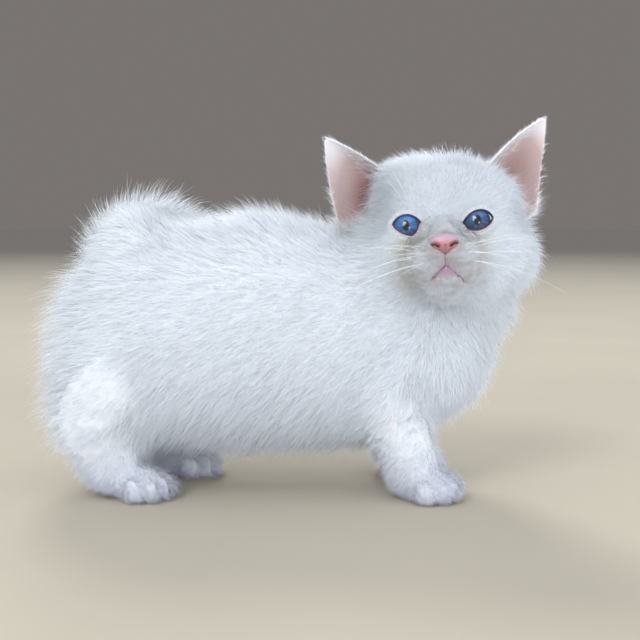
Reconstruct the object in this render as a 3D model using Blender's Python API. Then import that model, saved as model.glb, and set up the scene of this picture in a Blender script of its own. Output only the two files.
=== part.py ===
"""Life-size still model of a white munchkin kitten, standing side-on with its head turned.

The outline is the outline of the coat. The flesh is lofted and blended whole, and thin cuts then part
it into head, neck, trunk, legs, tail and ears. Sizes below are millimetres in the model's own frame:
+X is the way the body points, +Z is up, and the origin is on the floor under the middle of the model.
"""

import math

import bmesh
import bpy
import numpy as np
from mathutils import Matrix, Vector

MM = 0.001
CUT_GAP = 0.3
BLEND_VOXEL = 1.7
BLEND_STEPS = 7
FLESH_FACES = 2340
WELD = 0.05
SHARP_ANGLE = 50.0
# Grids: points around a section, and rows from one given section to the next
FLESH_GRID = (28, 4)
CUTTER_GRID = (14, 1)
TAIL_GRID = (14, 2)
BLOB_SEGMENTS = 24
TOE_SEGMENTS = 16
EYE_SEGMENTS = 16
SECTION_POWER, REGION_POWER = 2.2, 2.8

# Trunk, back to front: x, half width, top and underside of the coat
TRUNK = (
    (-101.5, 12, 72, 40),
    (-97.5, 26, 84, 27),
    (-89, 37, 95, 17),
    (-75, 42.5, 105, 13),
    (-56, 44.5, 111.5, 12.5),
    (-34, 44, 113, 12.5),
    (-12, 44, 117, 12.5),
    (11, 43, 112.5, 13.5),
    (33, 41, 105, 16),
    (54, 37, 98, 21.5),
    (70, 30, 90, 29.5),
    (80, 21, 80, 38.5),
    (86, 10, 71, 50),
)
TRUNK_ENDS = (-103.5, 88)
THROAT_RUFF = ((70, -6, 76), (25, 25, 20))

# Head, modelled level and facing -Y about its own centre, then tilted into place
HEAD_CENTRE = (58.4, -8.0, 104.0)
HEAD_PITCH, HEAD_ROLL, HEAD_YAW = 17.0, 4.7, -2.0
# Skull, back to face: y, half width, top and underside
SKULL = (
    (30, 11, 13, -10),
    (26, 22, 22, -20),
    (17, 32, 29.5, -28.5),
    (6, 39, 33.5, -34),
    (-4, 41.5, 34.5, -36.5),
    (-13, 39.5, 31.5, -36.5),
    (-19.5, 33, 25.5, -33),
    (-23.5, 22, 16, -26),
)
SKULL_ENDS = (32.5, -25.5)
# Centre and radii of each form on the face; the two-sided ones are given for the kitten's left
FACE_FORMS = {
    "muzzle": ((0, -24, -18), (17, 11.5, 11)),
    "nose_bridge": ((0, -26, -9), (6.5, 8.5, 11)),
    "brow": ((0, -15, 12), (19, 12.5, 16)),
    "chin_pad": ((0, -24, -28.5), (10, 8.6, 6.4)),
    "nose_leather": ((0, -34.4, -14.6), (5.6, 4.4, 4.6)),
}
PAIRED_FORMS = {
    "whisker_pad": ((7.6, -27.5, -18.8), (9.6, 9, 8.2)),
    "cheek_ruff": ((27.5, -3, -12), (15.5, 19, 19)),
}
EYE_PLACES = {"right": (-11.8, -19.5, -3.2), "left": (14.6, -19.5, -3.2)}
EYE_RADIUS = 7.0

# Ears, in the head's own level frame
EAR_ROOT = {"right": (-22.5, 3, 9), "left": (29.5, 3, 9)}
EAR_TIP = {"right": (-39.8, -4.5, 41.0), "left": (48.0, -4.5, 42.4)}
EAR_OPENS = {"right": 24.0, "left": 34.0}
EAR_HALF_WIDTH, EAR_TIP_HALF_WIDTH = 16.0, 0.9
EAR_WALL = 2.4
EAR_GRID = (9, 7)
EAR_CUP_ANGLES = (82.0, 42.0)
EAR_LEAN = 2.5
EAR_TAPER, EAR_ROUNDING = 1.35, 0.9

# Tail, from the rump up and over to the far flank: x, y, z, radius
TAIL = (
    (-79, 2, 78, 11),
    (-78, 5, 92, 13),
    (-70, 9, 104, 14),
    (-58, 14, 110, 14),
    (-48, 23, 107.5, 13.5),
    (-42, 34, 97, 13),
    (-38, 40, 82, 12),
    (-36, 42, 68, 8.5),
)
TAIL_SPLIT_X = -53.0

# Legs, shoulder or hip to ankle: x, y, z, radius. Breadth is the section's width over its depth.
LEGS = {
    "foreleg_right": {
        "path": (
            (36, -24, 68, 16),
            (39, -25, 50, 18),
            (43, -24.5, 33, 16.5),
            (48, -24, 20, 14.8),
            (51, -24, 8, 13),
        ),
        "breadth": 0.92,
        "paw": (54.5, -25.5),
        "heading": -48.0,
    },
    "foreleg_left": {
        "path": (
            (36, 24, 68, 16),
            (38, 25, 50, 18),
            (41, 24, 33, 16.5),
            (45, 23, 20, 14.8),
            (48, 22.5, 8, 13),
        ),
        "breadth": 0.92,
        "paw": (51.5, 21.5),
        "heading": -18.0,
    },
    "hindleg_right": {
        "path": (
            (-66, -25, 72, 20),
            (-68, -27, 52, 27),
            (-74, -26, 34, 23),
            (-71, -24, 20, 16.5),
            (-65, -23, 9, 13.5),
        ),
        "breadth": 0.72,
        "paw": (-58.5, -22.5),
        "heading": -44.0,
    },
    "hindleg_left": {
        "path": (
            (-61, 25, 72, 20),
            (-61, 27, 52, 27),
            (-63, 26, 34, 22),
            (-57, 24, 20, 16),
            (-50, 22, 9, 13),
        ),
        "breadth": 0.72,
        "paw": (-44.5, 20.5),
        "heading": -26.0,
    },
}
TUBE_CAP, TUBE_CAP_WAIST = 0.6, 0.72
PAW_RADII, PAW_HEIGHT = (13.5, 10.8, 9.0), 5.4
TOE_RADII, TOE_FORWARD, TOE_HEIGHT = (6.4, 3.9, 6.2), 9.5, 4.8
# Each toe's sideways place, and how far it stands behind the longest
TOES = ((-8.4, 3.4), (-2.9, 0.0), (2.9, 0.0), (8.4, 3.4))

# Regions that part the whole flesh
PAW_CUT_HEIGHT = 11.8
LEG_REGION_GROWTH, LEG_REGION_OUTWARD = 5.0, 3.2
ANKLE_GROWTH, ANKLE_HEIGHT = 7.0, 32.0
SKULL_GROWTH, SKULL_REACH = 4.0, 24.0
FACE_SECTION = (36, 27, -34)
NECK_REGION = ((36, 6, 88), (25, 36, 28), 14)
NOSE_REGION = ((0, -38.4, -14.6), (6.2, 5.0, 4.9), 12)
MUZZLE_REGION = ((0, -31, -16.5), (19, 11, 9.8), 14)
CHIN_REGION = ((0, -29, -30.5), (11.5, 10.5, 8.2), 12)
CHEST_CUT_X, RUMP_CUT_X = 9.5, -40.0
REACH = 160.0

# Colour and roughness
FINISHES = {
    "coat": ((0.86, 0.87, 0.90), 0.85),
    "ear": ((0.90, 0.74, 0.73), 0.75),
    "eye": ((0.20, 0.36, 0.62), 0.08),
    "nose": ((0.86, 0.50, 0.52), 0.45),
}


def clear_scene():
    for obj in list(bpy.data.objects):
        bpy.data.objects.remove(obj, do_unlink=True)


def material(name):
    colour, roughness = FINISHES[name]
    made = bpy.data.materials.get(name) or bpy.data.materials.new(name)
    made.use_nodes = True
    shader = made.node_tree.nodes["Principled BSDF"]
    shader.inputs["Base Color"].default_value = (*colour, 1.0)
    shader.inputs["Roughness"].default_value = roughness
    shader.inputs["Metallic"].default_value = 0.0
    return made


def head_matrix():
    """Places the level head: roll about its own forward axis, then pitch up, then yaw."""
    turn = (
        Matrix.Rotation(math.radians(HEAD_YAW), 4, "Z")
        @ Matrix.Rotation(math.radians(-HEAD_PITCH), 4, "X")
        @ Matrix.Rotation(math.radians(-HEAD_ROLL), 4, "Y")
    )
    return Matrix.Translation(Vector(HEAD_CENTRE)) @ turn


def smooth_rows(rows, between):
    """Catmull-Rom rows through the given rows: one at each, and the rest evenly between them."""
    table = np.array(rows, float)
    padded = np.vstack([2 * table[0] - table[1], table, 2 * table[-1] - table[-2]])
    out = []
    for a, b, c, d in zip(padded, padded[1:], padded[2:], padded[3:]):
        for t in np.arange(between) / between:
            ease = (2 * a - 5 * b + 4 * c - d) * t**2 + (3 * b - a - 3 * c + d) * t**3
            out.append(0.5 * (2 * b + (c - a) * t + ease))
    out.append(table[-1])
    return np.array(out)


def unit_section(sides, power):
    """A superellipse of half width and half height 1: |x|^power + |z|^power = 1."""
    angles = np.linspace(0, 2 * math.pi, sides, endpoint=False)
    cos, sin = np.cos(angles), np.sin(angles)
    return np.sign(cos) * np.abs(cos) ** (2 / power), np.sign(sin) * np.abs(sin) ** (2 / power)


def close_rings(bm, rings, start, end):
    """Bridges rings of points, and closes each end with a fan to its pole. All points are millimetres."""
    loops = [[bm.verts.new(Vector(p) * MM) for p in ring] for ring in rings]
    first = bm.verts.new(Vector(start) * MM)
    last = bm.verts.new(Vector(end) * MM)
    count = len(loops[0])
    for i in range(count):
        j = (i + 1) % count
        bm.faces.new((first, loops[0][j], loops[0][i]))
        bm.faces.new((last, loops[-1][i], loops[-1][j]))
        for low, high in zip(loops, loops[1:]):
            bm.faces.new((low[i], low[j], high[j], high[i]))


def add_trunk(bm):
    sides, between = FLESH_GRID
    wide, tall = unit_section(sides, SECTION_POWER)
    rings = []
    for x, half, top, under in smooth_rows(TRUNK, between):
        lift = (top + under) / 2 + (top - under) / 2 * tall
        rings.append(np.column_stack([np.full(sides, x), half * wide, lift]))
    ends = [(x, 0, (row[2] + row[3]) / 2) for x, row in zip(TRUNK_ENDS, (TRUNK[0], TRUNK[-1]))]
    close_rings(bm, rings, *ends)


def add_skull(bm, rows, ends, grid, growth=0.0, power=SECTION_POWER):
    """Superellipse sections across the level head, tilted into place."""
    place = head_matrix()
    wide, tall = unit_section(grid[0], power)
    rings = []
    for y, half, top, under in smooth_rows(rows, grid[1]):
        lift = (top + under) / 2 + ((top - under) / 2 + growth) * tall
        section = np.column_stack([(half + growth) * wide, np.full(grid[0], y), lift])
        rings.append([place @ Vector(p) for p in section])
    poles = [place @ Vector((0, y, (row[2] + row[3]) / 2)) for y, row in zip(ends, (rows[0], rows[-1]))]
    close_rings(bm, rings, *poles)


def add_blob(bm, centre, radii, segments=BLOB_SEGMENTS, matrix=Matrix()):
    place = matrix @ Matrix.Translation(Vector(centre)) @ Matrix.Diagonal((*radii, 1.0))
    bmesh.ops.create_uvsphere(
        bm,
        u_segments=segments,
        v_segments=segments // 2,
        radius=1.0,
        matrix=Matrix.Scale(MM, 4) @ place,
    )


def add_tube(bm, path, grid, breadth=1.0, growth=0.0):
    """A tube through the path's points, breadth times as wide as deep, with a blunt cap at each end."""
    sides, between = grid
    rows = smooth_rows(path, between)
    points = rows[:, :3]
    deep = rows[:, 3] + growth
    wide = rows[:, 3] * breadth + growth
    tangents = np.gradient(points, axis=0)
    tangents /= np.linalg.norm(tangents, axis=1)[:, None]
    angles = np.linspace(0, 2 * math.pi, sides, endpoint=False)
    across = np.array([0.0, 1.0, 0.0])
    rings = []
    for point, tangent, half_deep, half_wide in zip(points, tangents, deep, wide):
        across = across - tangent * (across @ tangent)
        across /= np.linalg.norm(across)
        other = np.cross(tangent, across) * half_deep
        rings.append(point + np.outer(np.cos(angles), across * half_wide) + np.outer(np.sin(angles), other))
    poles, caps = [], []
    for end, outward in ((0, -tangents[0]), (-1, tangents[-1])):
        reach = outward * wide[end] * TUBE_CAP
        poles.append(points[end] + reach)
        caps.append(points[end] + (rings[end] - points[end]) * TUBE_CAP_WAIST + reach * TUBE_CAP_WAIST)
    close_rings(bm, [caps[0], *rings, caps[1]], *poles)


def add_paw(bm, leg):
    """A rounded pad with four toes side by side at its front, running a little below the floor."""
    turn = Matrix.Rotation(math.radians(leg["heading"]), 4, "Z")
    place = Matrix.Translation((*leg["paw"], 0)) @ turn
    add_blob(bm, (0, 0, PAW_HEIGHT), PAW_RADII, matrix=place)
    for side, backset in TOES:
        add_blob(bm, (TOE_FORWARD - backset, side, TOE_HEIGHT), TOE_RADII, TOE_SEGMENTS, place)


def add_face(bm):
    place = head_matrix()
    for centre, radii in FACE_FORMS.values():
        add_blob(bm, centre, radii, matrix=place)
    for (x, y, z), radii in PAIRED_FORMS.values():
        for side in (-1, 1):
            add_blob(bm, (side * x, y, z), radii, matrix=place)


def add_leg_region(bm, leg):
    """The leg's own tube, set further out and larger, most of all at the ankle, to take in all of it."""
    path = []
    for x, y, z, radius in leg["path"]:
        ankle = ANKLE_GROWTH * max(0.0, 1 - z / ANKLE_HEIGHT)
        path.append((x, y + math.copysign(LEG_REGION_OUTWARD, y), z, radius + ankle))
    add_tube(bm, path, CUTTER_GRID, leg["breadth"], LEG_REGION_GROWTH)


def add_skull_region(bm):
    """The skull's own sections, larger, squarer and carried on in front of the muzzle."""
    front = SKULL_ENDS[1] - SKULL_REACH
    rows = [*SKULL[:-2], (front + 1, *FACE_SECTION)]
    ends = (SKULL_ENDS[0] + SKULL_GROWTH, front)
    add_skull(bm, rows, ends, CUTTER_GRID, SKULL_GROWTH, REGION_POWER)


def link(name, mesh, helper=False):
    obj = bpy.data.objects.new(name, mesh)
    bpy.context.scene.collection.objects.link(obj)
    if helper:
        obj.hide_render = True
        obj.display_type = "WIRE"
    return obj


def finish_helper(bm, name):
    """Turns the bmesh into a hidden object with its faces outwards."""
    bmesh.ops.recalc_face_normals(bm, faces=bm.faces)
    mesh = bpy.data.meshes.new(name)
    bm.to_mesh(mesh)
    bm.free()
    return link(name, mesh, helper=True)


def applied_mesh(obj, name):
    """The object's mesh with its modifiers applied. The object itself is removed."""
    graph = bpy.context.evaluated_depsgraph_get()
    mesh = bpy.data.meshes.new_from_object(obj.evaluated_get(graph))
    mesh.name = name
    bpy.data.objects.remove(obj)
    return mesh


def cut_at_floor(mesh):
    """Cuts the soles flat at height 0 and fills each with one face."""
    bm = bmesh.new()
    bm.from_mesh(mesh)
    cut = bmesh.ops.bisect_plane(
        bm,
        geom=[*bm.verts, *bm.edges, *bm.faces],
        dist=1e-6,
        plane_co=(0, 0, 0),
        plane_no=(0, 0, 1),
        clear_inner=True,
    )
    rim = [e for e in cut["geom_cut"] if isinstance(e, bmesh.types.BMEdge)]
    bmesh.ops.edgeloop_fill(bm, edges=rim)
    bmesh.ops.triangulate(bm, faces=bm.faces)
    return finish_helper(bm, "flesh")


def blended_flesh():
    """The coat's outline as one closed surface: forms joined, blended, thinned out, cut at the floor."""
    bm = bmesh.new()
    add_trunk(bm)
    add_blob(bm, *THROAT_RUFF)
    add_skull(bm, SKULL, SKULL_ENDS, FLESH_GRID)
    add_face(bm)
    for leg in LEGS.values():
        add_tube(bm, leg["path"], FLESH_GRID, leg["breadth"])
        add_paw(bm, leg)
    forms = finish_helper(bm, "forms")
    join = forms.modifiers.new("join", "REMESH")
    join.mode = "VOXEL"
    join.voxel_size = BLEND_VOXEL * MM
    blend = forms.modifiers.new("blend", "SMOOTH")
    blend.factor = 0.5
    blend.iterations = BLEND_STEPS
    blended = link("blended", applied_mesh(forms, "blended"), helper=True)
    thin = blended.modifiers.new("thin", "DECIMATE")
    thin.ratio = FLESH_FACES / (2 * len(blended.data.polygons))
    return cut_at_floor(applied_mesh(blended, "thinned"))


def grown_copy(obj):
    """A copy moved out along its normals by the gap."""
    name = obj.name + "_grown"
    copy = link(name, obj.data, helper=True)
    move = copy.modifiers.new("grow", "DISPLACE")
    move.strength = CUT_GAP * MM
    move.mid_level = 0.0
    return link(name, applied_mesh(copy, name), helper=True)


def region(name, build):
    """A cutter and its grown twin: what is inside it becomes one node, and the twin leaves the gap."""
    bm = bmesh.new()
    build(bm)
    inner = finish_helper(bm, name)
    return inner, grown_copy(inner)


def blob_region(name, centre, radii, segments, matrix=Matrix()):
    return region(name, lambda bm: add_blob(bm, centre, radii, segments, matrix))


def box_region(name, low, high):
    size = [b - a for a, b in zip(low, high)]
    middle = [(a + b) / 2 for a, b in zip(low, high)]
    place = Matrix.Scale(MM, 4) @ Matrix.Translation(middle) @ Matrix.Diagonal((*size, 1.0))
    bm = bmesh.new()
    bmesh.ops.create_cube(bm, size=1.0, matrix=place)
    return finish_helper(bm, name)


def slab_region(name, start, end):
    """Everything above the floor from one x to another, less half a gap at each side."""
    half = CUT_GAP / 2
    return box_region(name, (start + half, -REACH, 0), (end - half, REACH, REACH))


def linked_verts(seed):
    """All the vertices that edges join to this one."""
    group, front = {seed}, [seed]
    while front:
        vert = front.pop()
        for edge in vert.link_edges:
            other = edge.other_vert(vert)
            if other not in group:
                group.add(other)
                front.append(other)
    return group


def largest_body(mesh):
    """Welds the tiniest edges of a cut mesh and keeps the largest of its separate bodies."""
    bm = bmesh.new()
    bm.from_mesh(mesh)
    bmesh.ops.remove_doubles(bm, verts=bm.verts, dist=WELD * MM)
    bmesh.ops.dissolve_degenerate(bm, edges=bm.edges, dist=0.1 * WELD * MM)
    left, groups = set(bm.verts), []
    while left:
        groups.append(linked_verts(next(iter(left))))
        left -= groups[-1]
    groups.sort(key=len)
    for group in groups[:-1]:
        bmesh.ops.delete(bm, geom=list(group), context="VERTS")
    bmesh.ops.triangulate(bm, faces=bm.faces)
    bm.to_mesh(mesh)
    bm.free()


def carve(name, source, keep=(), remove=(), finish="coat"):
    """One node: the source's mesh, kept inside each keep cutter and outside each remove cutter."""
    uncut = link(name + "_uncut", source.data, helper=True)
    for operation, cutters in (("INTERSECT", keep), ("DIFFERENCE", remove)):
        for cutter in cutters:
            cut = uncut.modifiers.new(cutter.name, "BOOLEAN")
            cut.operation = operation
            cut.object = cutter
            cut.solver = "EXACT"
    mesh = applied_mesh(uncut, name)
    largest_body(mesh)
    mesh.materials.clear()
    mesh.materials.append(material(finish))
    mesh.shade_smooth()
    mesh.set_sharp_from_angle(angle=math.radians(SHARP_ANGLE))
    return link(name, mesh)


def ear_solid(side_name, side):
    """A cupped ear: arcs across its width, narrowing and flattening to the tip, given a wall."""
    rows, arcs = EAR_GRID
    root, tip = Vector(EAR_ROOT[side_name]), Vector(EAR_TIP[side_name])
    axis = (tip - root).normalized()
    turn = math.radians(EAR_OPENS[side_name])
    opens = Vector((side * math.sin(turn), -math.cos(turn), 0.0))
    opens = (opens - axis * opens.dot(axis)).normalized()
    across = axis.cross(opens)
    place = head_matrix()
    bm = bmesh.new()
    grid = []
    for t in np.linspace(0, 1, rows):
        half = EAR_HALF_WIDTH * (1 - t**EAR_TAPER) ** EAR_ROUNDING + EAR_TIP_HALF_WIDTH * t
        spread = math.radians(EAR_CUP_ANGLES[0] + (EAR_CUP_ANGLES[1] - EAR_CUP_ANGLES[0]) * t)
        radius = half / math.sin(spread)
        line = []
        for beta in np.linspace(-spread, spread, arcs):
            cup = radius * (math.cos(beta) - math.cos(spread)) + EAR_LEAN * math.sin(math.pi * t)
            point = root.lerp(tip, t) + across * radius * math.sin(beta) - opens * cup
            line.append(bm.verts.new(place @ point * MM))
        grid.append(line)
    for low, high in zip(grid, grid[1:]):
        for j in range(arcs - 1):
            bm.faces.new((low[j], low[j + 1], high[j + 1], high[j]))
    sheet = finish_helper(bm, "ear_sheet_" + side_name)
    wall = sheet.modifiers.new("wall", "SOLIDIFY")
    wall.thickness = EAR_WALL * MM
    wall.offset = 0.0
    name = "ear_solid_" + side_name
    return link(name, applied_mesh(sheet, name), helper=True)


def make_eyes():
    """Both eyes as whole balls. Returns the grown balls that make their sockets."""
    sockets = []
    for side_name, spot in EYE_PLACES.items():
        radii = (EYE_RADIUS,) * 3
        ball, socket = blob_region("eye_ball_" + side_name, spot, radii, EYE_SEGMENTS, head_matrix())
        carve("eye_" + side_name, ball, finish="eye")
        sockets.append(socket)
    return sockets


def make_head(flesh, skull, sockets):
    place = head_matrix()
    nose = blob_region("nose_region", *NOSE_REGION, place)
    muzzle = blob_region("muzzle_region", *MUZZLE_REGION, place)
    chin = blob_region("chin_region", *CHIN_REGION, place)
    carve("nose", flesh, keep=(skull[0], nose[0]), finish="nose")
    carve("muzzle", flesh, keep=(skull[0], muzzle[0]), remove=(nose[1], chin[1], *sockets))
    carve("chin", flesh, keep=(skull[0], chin[0]))
    carve("head", flesh, keep=(skull[0],), remove=(nose[1], muzzle[1], chin[1], *sockets))


def make_trunk(flesh, skull, neck, legs, tail, above_paws):
    front = (skull[1], neck[1], legs["foreleg_right"][1], legs["foreleg_left"][1])
    rear = (legs["hindleg_right"][1], legs["hindleg_left"][1], tail[1])
    chest_slab = slab_region("chest_slab", CHEST_CUT_X, REACH)
    belly_slab = slab_region("belly_slab", RUMP_CUT_X, CHEST_CUT_X)
    rump_slab = slab_region("rump_slab", -REACH, RUMP_CUT_X)
    carve("neck", flesh, keep=(neck[0],), remove=(skull[1],))
    carve("chest", flesh, keep=(chest_slab, above_paws), remove=front)
    carve("belly", flesh, keep=(belly_slab, above_paws), remove=(*front, *rear))
    carve("rump", flesh, keep=(rump_slab, above_paws), remove=rear)


def make_legs(flesh, skull, neck, legs, tail, above_paws):
    """Each leg down to the ankle cut, and the paw below it."""
    for name, leg in LEGS.items():
        carve(name, flesh, keep=(legs[name][0], above_paws), remove=(skull[1], neck[1], tail[1]))
        x, y = leg["paw"]
        low = (min(math.copysign(REACH, x), 0), min(math.copysign(REACH, y), 0), -REACH)
        high = (low[0] + REACH, low[1] + REACH, PAW_CUT_HEIGHT - CUT_GAP / 2)
        paw_name = name.replace("leg", "paw")
        carve(paw_name, flesh, keep=(box_region(paw_name + "_box", low, high),))


def make_tail(tail):
    carve("tail_base", tail[0], keep=(slab_region("tail_base_slab", -REACH, TAIL_SPLIT_X),))
    carve("tail_tip", tail[0], keep=(slab_region("tail_tip_slab", TAIL_SPLIT_X, REACH),))


def make_ears(flesh):
    outside = grown_copy(flesh)
    for side_name, side in (("right", -1), ("left", 1)):
        carve("ear_" + side_name, ear_solid(side_name, side), remove=(outside,), finish="ear")


def main():
    clear_scene()
    flesh = blended_flesh()
    skull = region("skull_region", add_skull_region)
    neck = blob_region("neck_region", *NECK_REGION)
    tail = region("tail_region", lambda bm: add_tube(bm, TAIL, TAIL_GRID))
    legs = {}
    for name, leg in LEGS.items():
        legs[name] = region(name + "_region", lambda bm: add_leg_region(bm, leg))
    low = PAW_CUT_HEIGHT + CUT_GAP / 2
    above_paws = box_region("above_paws", (-REACH, -REACH, low), (REACH, REACH, REACH))
    make_head(flesh, skull, make_eyes())
    make_trunk(flesh, skull, neck, legs, tail, above_paws)
    make_legs(flesh, skull, neck, legs, tail, above_paws)
    make_tail(tail)
    make_ears(flesh)


main()
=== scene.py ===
"""A white munchkin kitten as a still life-size model: its skin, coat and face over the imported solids.

Tables are in millimetres in the model's own frame: +X is the way the body points and +Z is up. Those of the
face and ears are in the head's own level frame, in which the face looks along -Y.
"""

import math

import bpy
import numpy as np
from bpy.props import FloatProperty, FloatVectorProperty, PointerProperty
from mathutils import Matrix, Vector


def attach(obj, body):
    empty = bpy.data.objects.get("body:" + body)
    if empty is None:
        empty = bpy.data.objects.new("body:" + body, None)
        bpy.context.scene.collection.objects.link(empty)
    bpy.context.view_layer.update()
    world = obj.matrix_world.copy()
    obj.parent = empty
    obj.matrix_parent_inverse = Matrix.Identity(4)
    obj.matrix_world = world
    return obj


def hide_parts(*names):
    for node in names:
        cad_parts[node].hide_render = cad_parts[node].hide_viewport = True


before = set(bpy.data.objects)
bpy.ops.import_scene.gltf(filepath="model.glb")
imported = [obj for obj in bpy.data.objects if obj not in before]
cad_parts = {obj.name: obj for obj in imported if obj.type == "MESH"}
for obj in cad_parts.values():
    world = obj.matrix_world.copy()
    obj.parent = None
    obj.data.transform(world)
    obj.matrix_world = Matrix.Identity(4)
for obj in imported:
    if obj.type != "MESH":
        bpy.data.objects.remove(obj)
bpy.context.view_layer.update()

bl_info = {
    "name": "Munchkin kitten, still model",
    "version": (1, 0, 0),
    "blender": (4, 5, 0),
    "location": "3D View > Sidebar > Kitten",
    "description": "Skin, coat, eyes, nose and whiskers of a white short-legged kitten",
    "category": "Object",
}

MM = 0.001
# How far skin and hairs stay above the floor
SKIN_CLEARANCE, HAIR_CLEARANCE = 0.05, 0.12

# Trunk, back to front: x, half width, top and underside of the coat
TRUNK = (
    (-101.5, 12, 72, 40),
    (-97.5, 26, 84, 27),
    (-89, 37, 95, 17),
    (-75, 42.5, 105, 13),
    (-56, 44.5, 111.5, 12.5),
    (-34, 44, 113, 12.5),
    (-12, 44, 117, 12.5),
    (11, 43, 112.5, 13.5),
    (33, 41, 105, 16),
    (54, 37, 98, 21.5),
    (70, 30, 90, 29.5),
    (80, 21, 80, 38.5),
    (86, 10, 71, 50),
)
TRUNK_ENDS = (-103.5, 88)
# Power of the superellipses that trunk and skull have as sections
SECTION_POWER = 2.2
THROAT_RUFF = ((70, -6, 76), (25, 25, 20))
# Fills the fold between the rump and the tail laid over it, under their long coat
TAIL_FOLD = ((-62, 1, 95), (24, 33, 25))

# Head
HEAD_CENTRE = (58.4, -8.0, 104.0)
HEAD_PITCH, HEAD_ROLL, HEAD_YAW = 17.0, 4.7, -2.0
# Skull, back to face: y, half width, top and underside
SKULL = (
    (30, 11, 13, -10),
    (26, 22, 22, -20),
    (17, 32, 29.5, -28.5),
    (6, 39, 33.5, -34),
    (-4, 41.5, 34.5, -36.5),
    (-13, 39.5, 31.5, -36.5),
    (-19.5, 33, 25.5, -33),
    (-23.5, 22, 16, -26),
)
SKULL_ENDS = (32.5, -25.5)
FACE_FORMS = (
    ((0, -24, -18), (17, 11.5, 11)),
    ((0, -26, -9), (6.5, 8.5, 11)),
    ((0, -15, 12), (19, 12.5, 16)),
    ((0, -24, -28.5), (10, 8.6, 6.4)),
    ((7.6, -27.5, -18.8), (9.6, 9, 8.2)),
    ((-7.6, -27.5, -18.8), (9.6, 9, 8.2)),
    ((27.5, -3, -12), (15.5, 19, 19)),
    ((-27.5, -3, -12), (15.5, 19, 19)),
)
# Forms of the bare face under its short fur, set in again after the blending has softened them
FINE_FACE_FORMS = (
    ((6.6, -27.0, -19.2), (6.8, 7.6, 5.6)),
    ((-5.8, -27.0, -19.2), (6.8, 7.6, 5.6)),
    ((0.3, -25.0, -27.4), (6.4, 6.2, 4.2)),
)

# Eyes: middle of each ball, and the opening's inner corner, outer corner, upper and lower height,
# all as millimetres of arc on the ball from straight ahead, then the pupil's place
EYE_RADIUS = 7.0
EYES = {
    "right": {
        "centre": (-11.8, -19.5, -3.2),
        "inner": (6.5, -1.9),
        "outer": (-5.7, 0.4),
        "rise": (4.15, 3.6),
        "pupil": (-0.7, -0.6),
    },
    "left": {
        "centre": (14.6, -19.5, -3.2),
        "inner": (-5.7, -1.9),
        "outer": (6.8, 0.7),
        "rise": (3.6, 3.7),
        "pupil": (-0.1, -0.75),
    },
}
# The lids' bed: clearance over the ball, depth behind the ball's front inside the opening, minus the
# distances from the ball's centre at which it starts and is whole, and its swelling's height, middle, breadth
BALL_CLEARANCE, EYE_BED_DEPTH = 0.05, 1.6
EYE_BED_REACH = (-16.5, -13.5)
LID_SWELLING = (0.35, 1.7, 0.8)
NOSE_TIP = (0.5, -38.0, -14.0)

# Ears. Bare: how far towards the inner rim the hollow shows, as a share of the half width, at the root and
# more for each whole height above it. Deep: where its pink is deepest, as shares of the height and half width
# from the inner side, and how deep it is.
EARS = {
    "right": {
        "root": (-22.5, 3, 9),
        "tip": (-39.8, -4.5, 41.0),
        "opens": -24.0,
        "bare": (0.08, 2.2),
        "deep": ((0.2, 0.2), 0.75),
    },
    "left": {
        "root": (29.5, 3, 9),
        "tip": (48.0, -4.5, 42.4),
        "opens": 34.0,
        "bare": (-0.8, 2.9),
        "deep": ((0.4, -0.2), 0.34),
    },
}
EAR_HALF_WIDTH, EAR_TIP_HALF_WIDTH = 16.0, 0.9
EAR_CUP_ANGLES = (82.0, 42.0)
EAR_LEAN = 2.5
EAR_TAPER, EAR_ROUNDING = 1.35, 0.9
EAR_SLOPE, EAR_DEPTH = 1.8, 8.0
# Where the ear ends below its root, as a share of its height, and its share of the full breadth there
EAR_FOOT, EAR_FOOT_BREADTH = -0.34, 0.3

# Tail, from the rump up and over to the far flank: x, y, z, radius
TAIL = (
    (-79, 2, 78, 11),
    (-78, 5, 92, 13),
    (-70, 9, 104, 14),
    (-58, 14, 110, 14),
    (-48, 23, 107.5, 13.5),
    (-42, 34, 97, 13),
    (-38, 40, 82, 12),
    (-36, 42, 68, 8.5),
)

# Legs, shoulder or hip to ankle: x, y, z, radius. Breadth is the section's width over its depth.
LEGS = {
    "foreleg_right": {
        "path": (
            (36, -24, 68, 16),
            (39, -25, 50, 18),
            (43, -24.5, 33, 16.5),
            (48, -24, 20, 14.8),
            (51, -24, 8, 13),
        ),
        "breadth": 0.92,
        "paw": (54.5, -25.5),
        "heading": -48.0,
    },
    "foreleg_left": {
        "path": (
            (36, 24, 68, 16),
            (38, 25, 50, 18),
            (41, 24, 33, 16.5),
            (45, 23, 20, 14.8),
            (48, 22.5, 8, 13),
        ),
        "breadth": 0.92,
        "paw": (51.5, 21.5),
        "heading": -18.0,
    },
    "hindleg_right": {
        "path": (
            (-66, -25, 72, 20),
            (-68, -27, 52, 27),
            (-74, -26, 34, 23),
            (-71, -24, 20, 16.5),
            (-65, -23, 9, 13.5),
        ),
        "breadth": 0.72,
        "paw": (-58.5, -22.5),
        "heading": -44.0,
    },
    "hindleg_left": {
        "path": (
            (-61, 25, 72, 20),
            (-61, 27, 52, 27),
            (-63, 26, 34, 22),
            (-57, 24, 20, 16),
            (-50, 22, 9, 13),
        ),
        "breadth": 0.72,
        "paw": (-44.5, 20.5),
        "heading": -26.0,
    },
}
PAW_RADII, PAW_HEIGHT = (13.5, 10.8, 9.0), 5.4
TOE_RADII, TOE_FORWARD, TOE_HEIGHT = (6.4, 3.9, 6.2), 9.5, 4.8
TOES = ((-8.4, 3.4), (-2.9, 0.0), (2.9, 0.0), (8.4, 3.4))

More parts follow.
